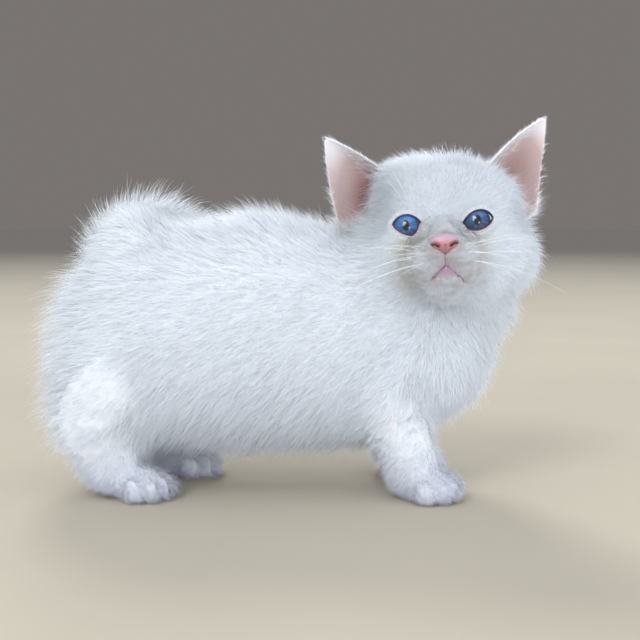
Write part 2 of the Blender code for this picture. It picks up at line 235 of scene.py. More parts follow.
# Coat of the head by distance from the nose: distance, length, lift in degrees, hair breadth, tuft radius
HEAD_COAT = (
    (0, 1.0, 18, 0.12, 0.45),
    (8, 1.5, 22, 0.13, 0.5),
    (16, 2.3, 26, 0.14, 0.6),
    (24, 3.0, 30, 0.15, 0.7),
    (32, 4.2, 36, 0.15, 0.9),
    (42, 6.2, 45, 0.17, 1.1),
    (60, 9.5, 52, 0.19, 1.3),
)
# Coat of the legs by height above the floor, in the same columns
LEG_COAT = (
    (0, 3.0, 42, 0.12, 0.6),
    (8, 4.2, 48, 0.13, 0.7),
    (14, 6.0, 52, 0.14, 0.9),
    (30, 8.5, 54, 0.17, 1.1),
    (50, 10.0, 54, 0.18, 1.3),
)
# Coat of the other parts: length, lift, hair breadth, tuft radius
TAIL_COAT = (16.0, 58, 0.20, 1.2)
SIDE_COAT = (10.5, 53, 0.19, 1.3)
BACK_COAT = (11.0, 56, 0.19, 1.3)
RUMP_COAT = (17.0, 60, 0.20, 1.4)
SHOULDER_COAT = (8.5, 50, 0.18, 1.3)
EAR_COAT = (3.0, 22, 0.12, 0.4)
# Added along the inner edges of the ears' hollows, in the same columns
EAR_FRINGE = (2.5, 6, -0.03, 0.0)
# More on the chin: its middle and radii in the head's frame, then what is added in the same columns
CHIN, CHIN_COAT = ((0.3, -29.0, -30.5), (6.5, 6.0, 4.0)), (1.6, 8, 0.0, 0.1)
# The skin lies inside the outline by this share of the coat's height
COAT_FILL = 0.84
# Distance over which neighbouring parts share the coat, and the height above which a leg's coat gives way to
# the trunk's, with the distance added for each millimetre there
REGION_BLEND = 3.0
LEG_TOP, LEG_FADE = 26, 0.3
# Rounds of softening of the skin's normals that shade the coat
SOFT_ROUNDS = 45


def smoothstep(x, low, high):
    """0 below low, 1 above high, and 3t^2 - 2t^3 between them."""
    t = np.clip((x - low) / (high - low), 0, 1)
    return t * t * (3 - 2 * t)


def unit(v):
    return v / np.maximum(np.linalg.norm(v, axis=-1, keepdims=True), 1e-9)


def turn(axis, degrees):
    return np.array(Matrix.Rotation(math.radians(degrees), 3, axis))


HEAD_TURN = turn("Z", HEAD_YAW) @ turn("X", -HEAD_PITCH) @ turn("Y", -HEAD_ROLL)


def from_head(points):
    """From the head's level frame: turned, then moved to the head's centre."""
    return np.asarray(points, float) @ HEAD_TURN.T + HEAD_CENTRE


def to_head(points):
    return (np.asarray(points, float) - HEAD_CENTRE) @ HEAD_TURN


def smooth_rows(rows, between):
    """Catmull-Rom rows: half of 2b + (c - a)t + (2a - 5b + 4c - d)t^2 + (3b - a - 3c + d)t^3."""
    table = np.array(rows, float)
    padded = np.vstack([2 * table[0] - table[1], table, 2 * table[-1] - table[-2]])
    a, b, c, d = (padded[k : len(padded) - 3 + k, None] for k in range(4))
    t = (np.arange(between) / between)[None, :, None]
    ease = (2 * a - 5 * b + 4 * c - d) * t**2 + (3 * b - a - 3 * c + d) * t**3
    made = 0.5 * (2 * b + (c - a) * t + ease)
    return np.vstack([made.reshape(-1, table.shape[1]), table[-1]])


def unit_section(sides):
    """A superellipse of half width and half height 1: |x|^power + |z|^power = 1."""
    angles = np.linspace(0, 2 * math.pi, sides, endpoint=False)
    return tuple(np.sign(v) * np.abs(v) ** (2 / SECTION_POWER) for v in (np.cos(angles), np.sin(angles)))


def outward(points, triangles):
    """The triangles turned so that the volume they enclose, the sum of a . (b x c) / 6, is positive."""
    a, b, c = (points[triangles[:, k]] for k in range(3))
    return triangles if (a * np.cross(b, c)).sum() > 0 else triangles[:, ::-1]


def closed_rings(rings, start, end):
    """Triangles between rings of points laid out as ring, side, place, with a fan to a pole at each end."""
    count, sides = rings.shape[:2]
    points = np.vstack([rings.reshape(-1, 3), start, end])
    i = np.arange(sides)
    j = (i + 1) % sides
    base = (np.arange(count - 1) * sides)[:, None]
    a, b, c, d = base + i, base + j, base + sides + j, base + sides + i
    halves = [np.stack(h, -1).reshape(-1, 3) for h in ((a, b, c), (a, c, d))]
    last = (count - 1) * sides
    caps = [
        np.column_stack([np.full(sides, count * sides), j, i]),
        np.column_stack([np.full(sides, count * sides + 1), last + i, last + j]),
    ]
    return points, outward(points, np.vstack([*halves, *caps]))


def joined(forms):
    """One list of points and one of triangles from several."""
    starts = np.cumsum([0] + [len(points) for points, _ in forms])
    triangles = [faces + start for (_, faces), start in zip(forms, starts)]
    return np.vstack([points for points, _ in forms]), np.vstack(triangles)


def loft(rows, ends, build):
    """Sections along a row table, each turned into points by build(row columns, wide, tall)."""
    wide, tall = unit_section(40)
    along, half, top, under = (column[:, None] for column in smooth_rows(rows, 5).T)
    lift = (top + under) / 2 + (top - under) / 2 * tall
    rings = build(along + 0 * wide, half * wide, lift)
    middles = [(row[2] + row[3]) / 2 for row in (rows[0], rows[-1])]
    poles = [build(*(np.array([v]) for v in (end, 0.0, middle))) for end, middle in zip(ends, middles)]
    return closed_rings(rings, *poles)


def ellipsoid(centre, radii, sides=32, place=None):
    """Centre + radii x (sin a cos b, sin a sin b, cos a)."""
    a = np.linspace(0, math.pi, sides // 2 + 1)[1:-1, None]
    b = np.linspace(0, 2 * math.pi, sides, endpoint=False)[None]
    rings = np.stack([np.sin(a) * np.cos(b), np.sin(a) * np.sin(b), np.cos(a) + 0 * b], -1)
    points, triangles = closed_rings(rings, (0, 0, 1), (0, 0, -1))
    points = points * radii + np.array(centre, float)
    if place:
        points = place(points)
    return points, triangles


# How far a tube's cap reaches beyond its end, and how broad it is, as shares of the radius
CAP_REACH, CAP_BREADTH = 0.6, 0.72


def tube(path, breadth=1.0, sides=32, between=5):
    """A tube through the path's points, breadth times as wide as deep, with a blunt cap at each end."""
    rows = smooth_rows(path, between)
    points, deep = rows[:, :3], rows[:, 3:]
    tangent = unit(np.gradient(points, axis=0))
    across = unit(np.array([0.0, 1.0, 0.0]) - tangent * tangent[:, 1:2])
    other = np.cross(tangent, across)
    angle = np.linspace(0, 2 * math.pi, sides, endpoint=False)
    side = np.cos(angle)[None, :, None] * (across * deep * breadth)[:, None]
    rings = points[:, None] + side + np.sin(angle)[None, :, None] * (other * deep)[:, None]
    reach = [-tangent[0] * deep[0] * breadth * CAP_REACH, tangent[-1] * deep[-1] * breadth * CAP_REACH]
    caps = []
    for e, r in zip((0, -1), reach):
        caps.append(points[e] + (rings[e] - points[e]) * CAP_BREADTH + r * CAP_BREADTH)
    rings = np.concatenate([caps[0][None], rings, caps[1][None]])
    return closed_rings(rings, points[0] + reach[0], points[-1] + reach[1])


def paw_forms(leg, shrink=0.0):
    """A rounded pad with four toes side by side at its front."""
    rotation = turn("Z", leg["heading"])
    middle = np.array([*leg["paw"], 0.0])

    def place(points):
        return points @ rotation.T + middle

    forms = [ellipsoid((0, 0, PAW_HEIGHT), np.array(PAW_RADII) - shrink, place=place)]
    for side, backset in TOES:
        spot = (TOE_FORWARD - backset, side, TOE_HEIGHT)
        forms.append(ellipsoid(spot, np.array(TOE_RADII) - shrink, 24, place=place))
    return forms


def outline_forms():
    """Every form of the coat's outline."""
    forms = [
        loft(TRUNK, TRUNK_ENDS, lambda x, y, z: np.stack([x, y, z], -1)),
        loft(SKULL, SKULL_ENDS, lambda y, x, z: from_head(np.stack([x, y, z], -1))),
        ellipsoid(*THROAT_RUFF),
        ellipsoid(*TAIL_FOLD, sides=48),
        tube(TAIL),
    ]
    forms += [ellipsoid(*form, place=from_head) for form in FACE_FORMS]
    for leg in LEGS.values():
        forms += [tube(leg["path"], leg["breadth"]), *paw_forms(leg)]
    return joined(forms)


def set_mesh(name, points, corners, starts, maps=None, values=None):
    """A mesh from points in metres, face corners and each face's first corner, with maps and attributes."""
    mesh = bpy.data.meshes.new(name)
    mesh.vertices.add(len(points))
    mesh.vertices.foreach_set("co", np.asarray(points, np.float32).ravel())
    mesh.loops.add(len(corners))
    mesh.loops.foreach_set("vertex_index", corners.astype(np.int32))
    mesh.polygons.add(len(starts))
    mesh.polygons.foreach_set("loop_start", starts.astype(np.int32))
    mesh.update(calc_edges=True)
    for key, uv in (maps or {}).items():
        layer = mesh.uv_layers.new(name=key)
        layer.uv.foreach_set("vector", uv[corners].astype(np.float32).ravel())
    for key, value in (values or {}).items():
        layer = mesh.attributes.new(key, "FLOAT", "POINT")
        layer.data.foreach_set("value", value.astype(np.float32))
    mesh.shade_smooth()
    return mesh


def triangle_mesh(name, points, triangles, **layers):
    """A mesh from points in millimetres and triangles."""
    starts = np.arange(len(triangles)) * 3
    return set_mesh(name, points * MM, triangles.ravel(), starts, **layers)


def link(name, mesh):
    obj = bpy.data.objects.new(name, mesh)
    bpy.context.scene.collection.objects.link(obj)
    return obj


def arrays(mesh):
    """The mesh's points in millimetres, its triangles and its vertex normals."""
    points = np.empty(len(mesh.vertices) * 3, np.float32)
    mesh.vertices.foreach_get("co", points)
    normals = np.empty(len(mesh.vertices) * 3, np.float32)
    mesh.vertex_normals.foreach_get("vector", normals)
    mesh.calc_loop_triangles()
    triangles = np.empty(len(mesh.loop_triangles) * 3, np.int32)
    mesh.loop_triangles.foreach_get("vertices", triangles)
    points, normals = (values.reshape(-1, 3).astype(float) for values in (points, normals))
    return points / MM, triangles.reshape(-1, 3), normals


def blended(points, triangles, voxel, steps):
    """The forms joined into one closed surface of voxel-sized faces, then smoothed."""
    obj = link("blended", triangle_mesh("blended", points, triangles))
    join = obj.modifiers.new("join", "REMESH")
    join.mode = "VOXEL"
    join.voxel_size = voxel * MM
    soften = obj.modifiers.new("soften", "SMOOTH")
    soften.factor = 0.5
    soften.iterations = steps
    graph = bpy.context.evaluated_depsgraph_get()
    mesh = bpy.data.meshes.new_from_object(obj.evaluated_get(graph))
    bpy.data.objects.remove(obj)
    made = arrays(mesh)
    bpy.data.meshes.remove(mesh)
    return made


TRUNK_ROWS = smooth_rows(TRUNK, 4)
PATHS = {"tail": smooth_rows(TAIL, 3), **{name: smooth_rows(leg["path"], 3) for name, leg in LEGS.items()}}
PARTS = ("trunk", "head", "tail", *LEGS)


def trunk_distance(p):
    """How far outside the trunk's sections a point is: (superellipse radius - 1) x the smaller half size."""
    half, top, under = (np.interp(p[:, 0], TRUNK_ROWS[:, 0], TRUNK_ROWS[:, k]) for k in (1, 2, 3))
    middle, tall = (top + under) / 2, (top - under) / 2
    power = SECTION_POWER
    ratio = (np.abs(p[:, 1] / half) ** power + np.abs((p[:, 2] - middle) / tall) ** power) ** (1 / power)
    beyond = np.maximum(TRUNK_ENDS[0] - p[:, 0], p[:, 0] - TRUNK_ENDS[1])
    return np.maximum((ratio - 1) * np.minimum(half, tall), beyond)


# Skull and muzzle as ellipsoids: middle, radii, and the mean radius that turns a share into a distance
HEAD_BALLS = (((0, 1, -1), (41, 31, 36), 33), ((0, -24, -17), (18, 15, 16), 15))


def head_distance(p):
    """How far outside the nearer of two ellipsoids, skull and muzzle."""
    local = to_head(p)
    gaps = []
    for middle, radii, mean in HEAD_BALLS:
        gaps.append((np.linalg.norm((local - middle) / radii, axis=1) - 1) * mean)
    return np.minimum(*gaps)


def path_distance(p, rows):
    """Distance to a path's nearest piece less the radius, that piece's direction, and how far along it is."""
    a, step = rows[:-1, :3], np.diff(rows[:, :3], axis=0)
    t = ((p[:, None] - a) * step).sum(-1) / (step**2).sum(-1)
    t = np.clip(t, 0, 1)
    gap = np.linalg.norm(p[:, None] - a - step * t[..., None], axis=-1)
    gap -= rows[:-1, 3] + np.diff(rows[:, 3]) * t
    best = gap.argmin(1)
    pick = np.arange(len(p)), best
    return gap[pick], unit(step)[best], (best + t[pick]) / len(step)


def shares(p):
    """Each part's share at each point, from e^(-distance / blend), and the direction of the path parts."""
    gaps, along = [trunk_distance(p), head_distance(p)], {}
    for name in PARTS[2:]:
        gap, along[name], _ = path_distance(p, PATHS[name])
        if name in LEGS:
            gap = gap + LEG_FADE * np.maximum(p[:, 2] - LEG_TOP, 0)
        gaps.append(gap)
    gaps = np.array(gaps)
    weight = np.exp(-(gaps - gaps.min(0)) / REGION_BLEND)
    return dict(zip(PARTS, weight / weight.sum(0))), along


def table_lookup(x, table):
    """The table's columns after the first, each interpolated at x."""
    table = np.array(table, float)
    return np.stack([np.interp(x, table[:, 0], table[:, k]) for k in range(1, table.shape[1])], -1)


def coat_measures(p, share):
    """Length, lift, hair breadth and tuft radius of the coat at points of the body."""
    reach = np.linalg.norm(to_head(p) - NOSE_TIP, axis=1)
    rump = smoothstep(-p[:, 0], 58, 94)[:, None]
    top = smoothstep(p[:, 2], 84, 106)[:, None]
    trunk = np.array(SIDE_COAT) * (1 - top) + np.array(BACK_COAT) * top
    fore = smoothstep(p[:, 0], 2, 30)[:, None]
    trunk = trunk * (1 - fore) + np.array(SHOULDER_COAT) * fore
    trunk = trunk * (1 - rump) + np.array(RUMP_COAT) * rump
    made = share["trunk"][:, None] * trunk + share["head"][:, None] * table_lookup(reach, HEAD_COAT)
    made += share["tail"][:, None] * np.array(TAIL_COAT)
    local = to_head(p)
    chin = np.exp(-(((local - CHIN[0]) / CHIN[1]) ** 2).sum(1))[:, None]
    made = made + chin * np.array(CHIN_COAT)
    for side in EARS:
        outside, front, _, t = ear_opening(local, side)
        edge = np.exp(-((outside / 3) ** 2)) * (1 - smoothstep(np.abs(front), 6, 14))
        edge *= (1 - smoothstep(t, 0.6, 1.0)) * (1 - smoothstep(local[:, 1], 4, 12))
        made = made + edge[:, None] * np.array(EAR_FRINGE)
    legs = sum(share[name] for name in LEGS)
    return made + legs[:, None] * table_lookup(p[:, 2], LEG_COAT)


def coat_flow(p, share, along):
    """The way the hairs point: back along the trunk, down its chest and underside, away from the nose and
    back under the throat, down the legs, forward over the toes, and along the tail."""
    chest = smoothstep(p[:, 0], 38, 74)[:, None]
    low = smoothstep(-p[:, 2], -100, -35)
    level = np.zeros_like(p)
    under = smoothstep(-p[:, 2], -34, -16)
    back = level + np.stack([-1 + 0.5 * under, 0 * low, -0.05 - 0.45 * low - 0.6 * under], -1)
    trunk = back * (1 - chest) + np.array([0.45, 0, -0.9]) * chest
    radial = to_head(p) - NOSE_TIP
    behind = smoothstep(np.linalg.norm(radial, axis=1), 30, 58)[:, None]
    head = unit(radial) @ HEAD_TURN.T * (1 - 0.55 * behind) + np.array([-0.3, 0.1, -0.75]) * behind
    throat = smoothstep(-radial[:, 2], 12, 21)[:, None] * smoothstep(radial[:, 1], 0, 12)[:, None]
    head = head + np.array([0.15, 1.5, 0.0]) * throat
    flow = share["trunk"][:, None] * unit(trunk) + share["head"][:, None] * head
    flow += share["tail"][:, None] * along["tail"]
    for name, leg in LEGS.items():
        heading = math.radians(leg["heading"])
        forward = np.array([math.cos(heading), math.sin(heading), -0.5])
        ahead = (p[:, :2] - leg["paw"]) @ (math.cos(heading), math.sin(heading))
        low = (smoothstep(-p[:, 2], -14, -8) * smoothstep(ahead, -3, 5))[:, None]
        high = smoothstep(p[:, 2], 16, 36)[:, None] * (1.0 if leg["path"][0][0] < 0 else 0.0)
        down = np.array([-0.75, 0, -0.65]) + np.array([-0.25, 0, 0.35]) * high
        down = down * (1 - low) + forward * low
        flow += share[name][:, None] * unit(down)
    return flow


def almond(side, count=180):
    """An eye's opening as arc places: a straight line between its corners, raised and lowered by
    (4t(1 - t))^0.7 of each lid's height."""
    eye = EYES[side]
    inner, outer = np.array(eye["inner"]), np.array(eye["outer"])
    t = (1 - np.cos(np.linspace(0, math.pi, count // 2, endpoint=False))) / 2
    swell = np.maximum(4 * t * (1 - t), 0) ** 0.7
    upper = inner + (outer - inner) * t[:, None] + np.stack([0 * t, eye["rise"][0] * swell], -1)
    lower = outer + (inner - outer) * t[:, None] - np.stack([0 * t, eye["rise"][1] * swell], -1)
    return np.vstack([upper, lower])


def from_arc(side, arc, radius):
    """Places on a ball about the eye's centre: arc / ball radius is the angle from straight ahead."""
    away = np.linalg.norm(arc, axis=-1)
    angle = away / EYE_RADIUS
    flat = arc * (np.sin(angle) / np.maximum(away, 1e-9))[..., None]
    ray = np.stack([flat[..., 0], -np.cos(angle), flat[..., 1]], -1)
    return np.array(EYES[side]["centre"]) + ray * np.asarray(radius)[..., None]


def eye_gap(local, side):
    """How far outside the eye's opening a point is, as arc, and its distance from the ball's centre."""
    ray = local - EYES[side]["centre"]
    away = np.linalg.norm(ray, axis=1)
    angle = np.arccos(np.clip(-ray[:, 1] / np.maximum(away, 1e-9), -1, 1))
    way = np.arctan2(ray[:, 2], ray[:, 0])
    edge = almond(side)
    edge_way = np.arctan2(edge[:, 1], edge[:, 0])
    order = np.argsort(edge_way)
    bound = np.interp(way, edge_way[order], np.linalg.norm(edge, axis=1)[order], period=2 * math.pi)
    return angle * EYE_RADIUS - bound, away


def set_lids(local):
    """Lays the skin over each ball just outside the opening, in a low swelling by the bell curve
    e^(-((gap - middle) / breadth)^2), and sinks it behind the ball inside the opening."""
    height, middle, breadth = LID_SWELLING
    for side in EYES:
        gap, away = eye_gap(local, side)
        near = smoothstep(-away, *EYE_BED_REACH)
        over = EYE_RADIUS + BALL_CLEARANCE + height * np.exp(-(((gap - middle) / breadth) ** 2))
        inside = np.minimum(away, EYE_RADIUS - EYE_BED_DEPTH)
        rise = np.where(away < over, smoothstep(gap, 3.0, 6.5), smoothstep(gap, 1.0, 4.5))
        outside = over + (away - over) * rise
        wanted = inside + (outside - inside) * smoothstep(gap, -0.4, 0.6)
        centre = np.array(EYES[side]["centre"])
        ray = unit(local - centre)
        local = local + ray * ((wanted - away) * near)[:, None]
    return local


def ear_frame(side):
    """The ear's root, its tip, and its along, across and opening directions."""
    ear = EARS[side]
    root, tip = np.array(ear["root"], float), np.array(ear["tip"], float)
    axis = unit(tip - root)
    angle = math.radians(ear["opens"])
    opens = np.array([math.sin(angle), -math.cos(angle), 0.0])
    opens = unit(opens - axis * (opens @ axis))
    return root, tip, axis, np.cross(axis, opens), opens


def ear_section(t):
    """Half width and half spread of the ear's arc at a share t of its height."""
    rise = np.clip(t, 0, 1)
    half = EAR_HALF_WIDTH * (1 - rise**EAR_TAPER) ** EAR_ROUNDING + EAR_TIP_HALF_WIDTH * rise
    half = half * (EAR_FOOT_BREADTH + (1 - EAR_FOOT_BREADTH) * smoothstep(t, EAR_FOOT, 0.2))
    spread = np.radians(EAR_CUP_ANGLES[0] + (EAR_CUP_ANGLES[1] - EAR_CUP_ANGLES[0]) * t)
    return half, spread


def ear_point(side, t, share, out):
    """A point of the ear's arc: its radius is half width / sin spread, share is the angle over the spread,
    and out is how far it lies off the middle sheet towards the back of the ear."""
    root, tip, _, across, opens = ear_frame(side)
    half, spread = ear_section(t)
    radius, angle = half / np.sin(spread), spread * share
    cup = radius * (np.cos(angle) - np.cos(spread)) + EAR_LEAN * np.sin(math.pi * np.clip(t, 0, 1))
    normal = across * np.sin(angle)[..., None] - opens * np.cos(angle)[..., None]
    middle = root + (tip - root) * t[..., None] + across * (radius * np.sin(angle))[..., None]
    return middle - opens * cup[..., None] + normal * out[..., None]


def ear_shell(side, rows=56, arcs=33):
    """A closed shell: up the hollow side and down the back, thinning towards its rim and tip."""
    t = np.linspace(EAR_FOOT, 1, rows)[:, None]
    share = np.linspace(-1, 1, arcs)
    share = np.concatenate([share, share[::-1]])[None]
    sign = np.concatenate([-np.ones(arcs), np.ones(arcs)])[None]
    wall = (0.75 - 0.5 * np.abs(share) ** 6) * (1 - 0.35 * t)
    t, share, out = np.broadcast_arrays(t, share, sign * wall)
    rings = ear_point(side, t, share, out)
    points, triangles = closed_rings(rings, rings[0].mean(0), rings[-1].mean(0))
    side_of = np.append(np.broadcast_to(-sign, t.shape).ravel(), [0, 0])
    height = np.append(np.clip(t.ravel(), 0, 1), [0, 1])
    across = np.append(share.ravel(), [0, 0])
    return points, triangles, height, across, side_of


def softened(normals, triangles, rounds):
    """Each normal made the mean of those of its triangles' corners, round after round."""
    for _ in range(rounds):
        face = normals[triangles].mean(1)
        sums = [np.bincount(triangles.ravel(), np.repeat(face[:, k], 3), len(normals)) for k in range(3)]
        normals = unit(np.stack(sums, -1))
    return normals


def relaxed(points, triangles, share, rounds):
    """Points moved towards the mean of their triangles' middles by a share, round after round."""
    pick = np.flatnonzero(share > 0.01)
    near = triangles[np.isin(triangles, pick).any(1)]
    count = np.maximum(np.bincount(near.ravel(), minlength=len(points)), 1)[:, None]
    for _ in range(rounds):
        middle = points[near].mean(1)
        sums = [np.bincount(near.ravel(), np.repeat(middle[:, k], 3), len(points)) for k in range(3)]
        points = points + (np.stack(sums, -1) / count - points) * share[:, None]
    return points


def face_smoothing(local):
    """Where the blended forms are evened out: bridge, brow and cheeks, but not the lids' beds and muzzle."""
    share = smoothstep(-local[:, 1], 12, 18) * (1 - smoothstep(local[:, 2], 8, 16))
    for side in EYES:
        gap, away = eye_gap(local, side)
        share *= np.where(away < 14, smoothstep(gap, 2.6, 4.5), 1)
    muzzle = np.exp(-(((local[:, 0] - 0.4) / 10.5) ** 4) - ((local[:, 2] + 22) / 11) ** 4)
    return share * (1 - smoothstep(muzzle, 0.08, 0.4))


class Skin:
    """The finished skin's arrays, kept for the coat: points, triangles, normals, softened normals, how many
    of the points are the body's, and which are in the ears' hollows."""

    made = None


# Voxel and rounds of smoothing of the first blend and of the one with the fine forms, and the paws' inset
OUTLINE_BLEND, FINE_BLEND = (1.3, 34), (0.85, 11)
PAW_INSET = 1.5
FACE_ROUNDS = 30


def build_skin():
    """The coat's outline moved in by the coat's depth, with the ears, the lids' beds and the mouth's fold."""
    points, triangles, normals = blended(*outline_forms(), *OUTLINE_BLEND)
    share, _ = shares(points)
    length, lift = coat_measures(points, share).T[:2]
    points = points - normals * (COAT_FILL * length * np.sin(np.radians(lift)))[:, None]
    points = from_head(set_ear_hollows(to_head(points)))
    forms = [(points, triangles)]
    forms += [ellipsoid(*form, place=from_head) for form in FINE_FACE_FORMS]
    for leg in LEGS.values():
        forms += paw_forms(leg, PAW_INSET)
    points, triangles, normals = blended(*joined(forms), *FINE_BLEND)
    local = to_head(points)
    facing = (normals @ HEAD_TURN)[:, 1]
    local = set_lids(local)
    local = relaxed(local, triangles, face_smoothing(local), FACE_ROUNDS)
    local = set_mouth(local)
    points = from_head(local)
    points[:, 2] = np.maximum(points[:, 2], SKIN_CLEARANCE)
    body = len(points)
    pink = body_pink(points, facing)
    forms, hollow = [(points, triangles)], [0 * pink]
    for side in EARS:
        ear_points, ear_triangles, height, across, side_of = ear_shell(side)
        forms.append((from_head(ear_points), ear_triangles))
        pink = np.append(pink, ear_pink(side, height, across, side_of))
        hollow.append(side_of)
    points, triangles = joined(forms)
    mesh = triangle_mesh("skin", points, triangles, values={"pink": pink})
    _, _, normals = arrays(mesh)
    soft = softened(normals, triangles, SOFT_ROUNDS)
    soft[body:] = normals[body:]
    Skin.made = {
        "soft": soft,
        "points": points,
        "triangles": triangles,
        "normals": normals,
        "body": body,
        "hollow": np.concatenate(hollow),
    }
    return mesh


MOUTH_FORK = (0.35, -21.7)
PHILTRUM = ((0.6, -17.2), (0.45, -19.4), MOUTH_FORK)
MOUTH_LINES = {
    "right": (MOUTH_FORK, (-1.2, -22.9), (-3.0, -24.3), (-4.9, -25.9)),
    "left": (MOUTH_FORK, (1.9, -23.0), (3.9, -24.7), (6.6, -27.0)),
}


def line_distance(local, path):
    """Distance in the face's plane from a line of points."""
    a = np.array(path, float)
    step = np.diff(a, axis=0)
    flat = local[:, None, [0, 2]] - a[:-1]
    t = np.clip((flat * step).sum(-1) / (step**2).sum(-1), 0, 1)
    return np.linalg.norm(flat - step * t[..., None], axis=-1).min(1)


def mouth_distance(local):
    return np.min([line_distance(local, path) for path in (PHILTRUM, *MOUTH_LINES.values())], axis=0)


MOUTH_FOLD_DEPTH, MOUTH_FOLD_BREADTH = 1.1, 0.9


def set_mouth(local):
    """Pushes the skin back along the mouth's lines, by a bell curve across them."""
    gap = mouth_distance(local)
    front = smoothstep(-local[:, 1], 22, 27)
    local = local.copy()
    local[:, 1] += MOUTH_FOLD_DEPTH * np.exp(-((gap / MOUTH_FOLD_BREADTH) ** 2)) * front
    return local


def ear_opening(local, side):
    """Seen along the face's own axis: how far a point is outside the part of the ear's outline that shows,
    how far before its rims, the depth of its cup there, and its share of the ear's height."""
    root, tip, axis, across, opens = ear_frame(side)
    height = np.linalg.norm(tip - root)
    rel = local - root
    ahead = -(rel @ opens) / opens[1]
    rel = rel + np.array([0.0, 1.0, 0.0]) * ahead[:, None]
    t, wide, front = rel @ axis / height, rel @ across, ahead
    half, spread = ear_section(np.clip(t, 0, 1))
    radius = half / np.sin(spread)
    lean = np.clip(wide / np.maximum(radius, 0.1), -np.sin(spread), np.sin(spread))
    cup = radius * (np.sqrt(1 - lean**2) - np.cos(spread))
    inner = wide if side == "right" else -wide
    start, growth = EARS[side]["bare"]
    limit = np.clip(start + growth * t, -0.9, 1.0) * half
    beyond = np.maximum(np.maximum(inner - limit, -inner - half), 0)
    outside = np.hypot(beyond, np.maximum(-t, 0) * height)
    return outside, front, cup, t


def set_ear_hollows(local):
    """Cuts the head away before each ear: down to the floor of its cup within its outline, and along a slope
    of EAR_SLOPE outside it."""
    for side in EARS:
        outside, front, cup, t = ear_opening(local, side)
        limit = EAR_SLOPE * outside - np.minimum(cup + 1.0, EAR_DEPTH) * (1 - smoothstep(outside, 0.0, 1.5))
        over = np.maximum(front - limit, 0) * (t < 1.3)
        local = local + np.array([0.0, 1.0, 0.0]) * over[:, None]
    return local


def body_pink(points, facing):
    """How bare the skin is: pink at the nose, lips and lids, in the ears' hollows and under the paws."""
    local = to_head(points)
    pink = 0.7 * np.exp(-(np.linalg.norm((local - NOSE_TIP) / (5.9, 6.0, 4.8), axis=1) ** 4))
    pink = np.maximum(pink, 0.8 * np.exp(-((mouth_distance(local) / 1.0) ** 2)) * (local[:, 1] < -24))
    pink = np.maximum(pink, 0.35 * (1 - smoothstep(lip_reach(local), 0.9, 1.2)) * (local[:, 1] < -24))
    for side in EYES:
        gap, away = eye_gap(local, side)
        pink = np.maximum(pink, 0.2 * (1 - smoothstep(gap, 0.5, 1.8)) * (away < 9.0))
    for side in EARS:
        pink = np.maximum(pink, 0.8 * ear_pit(local, facing, side))
    sole = smoothstep(-points[:, 2], -1.2, -0.2) * 0.6
    return np.maximum(pink, sole)


def ear_pit(local, facing, side):
    """1 on the floor of an ear's hollow, 0 on the head round it. Facing is the normals' part along +Y."""
    outside, front, _, t = ear_opening(local, side)
    floor = (1 - smoothstep(outside, 0.0, 0.9)) * smoothstep(-front, 0.5, 4.0)
    return floor * (t < 1.2) * (front > -9.5) * smoothstep(-facing, 0.0, 0.3)


def ear_pink(side, height, across, side_of):
    """Deep pink low in the hollow, paler up to the rim, and faint on the back."""
    medial = across if side == "right" else -across
    (up, over), strength = EARS[side]["deep"]
    deep = np.exp(-(((height - up) / 0.3) ** 2) - ((medial - over) / 0.65) ** 2)
    inner = 0.14 + strength * deep - 0.08 * smoothstep(height, 0.6, 1.0)
    return np.where(side_of > 0, inner, 0.03)


def scatter(weight, count, rng):
    """Points on the skin's triangles, as likely as area x the mean weight of the corners."""
    skin = Skin.made
    triangles = skin["triangles"]
    a, b, c = (skin["points"][triangles[:, k]] for k in range(3))
    chance = np.linalg.norm(np.cross(b - a, c - a), axis=1) * weight[triangles].mean(1)
    total = np.cumsum(chance)
    even = (np.arange(count) + rng.random(count)) / count
    pick = np.searchsorted(total, even * total[-1]).clip(0, len(triangles) - 1)
    u, v = rng.random((2, count, 1))
    flip = u + v > 1
    u, v = np.where(flip, 1 - u, u), np.where(flip, 1 - v, v)
    place = a[pick] * (1 - u - v) + b[pick] * u + c[pick] * v
    corner = np.stack([1 - u - v, u, v], 1)
    normal, soft = (unit((skin[key][triangles[pick]] * corner).sum(1)) for key in ("normals", "soft"))
    hollow = skin["hollow"][triangles[pick]].mean(1)
    return place, normal, soft, hollow


def ripple(p, wave, seed):
    """A slow unevenness, mostly from -1 to 1: 1.6 x the mean of sines along five seeded directions."""
    rng = np.random.default_rng(seed)
    ways = unit(rng.normal(size=(5, 3))) * (2 * math.pi / wave) * rng.uniform(0.7, 1.5, (5, 1))
    return np.sin(p @ ways.T + rng.uniform(0, 2 * math.pi, 5)).mean(1) * 1.6


# Rows of points along a hair, and its breadth at each row but the tip
ROWS_LONG, ROWS_SHORT = 4, 3
BLADE = {ROWS_LONG: (0.8, 1.0, 0.66), ROWS_SHORT: (0.9, 0.8)}
# Breadth and length of a hair's patch on the OFBake map, and the map's empty margin
PATCH, MAP_MARGIN = 0.003, 0.01


def blade_corners(rows, count):
    """Faces of every blade: quads up to its last pair of points, and a triangle to its tip."""
    quads = [(2 * k, 2 * k + 1, 2 * k + 3, 2 * k + 2) for k in range(rows - 2)]
    last = 2 * (rows - 2)
    one = np.array([i for quad in quads for i in quad] + [last, last + 1, last + 2])
    starts = np.append(np.arange(len(quads)) * 4, len(quads) * 4)
    points_each = 2 * rows - 1
    corners = (np.arange(count) * points_each)[:, None] + one
    firsts = (np.arange(count) * len(one))[:, None] + starts
    return corners.ravel(), firsts.ravel()


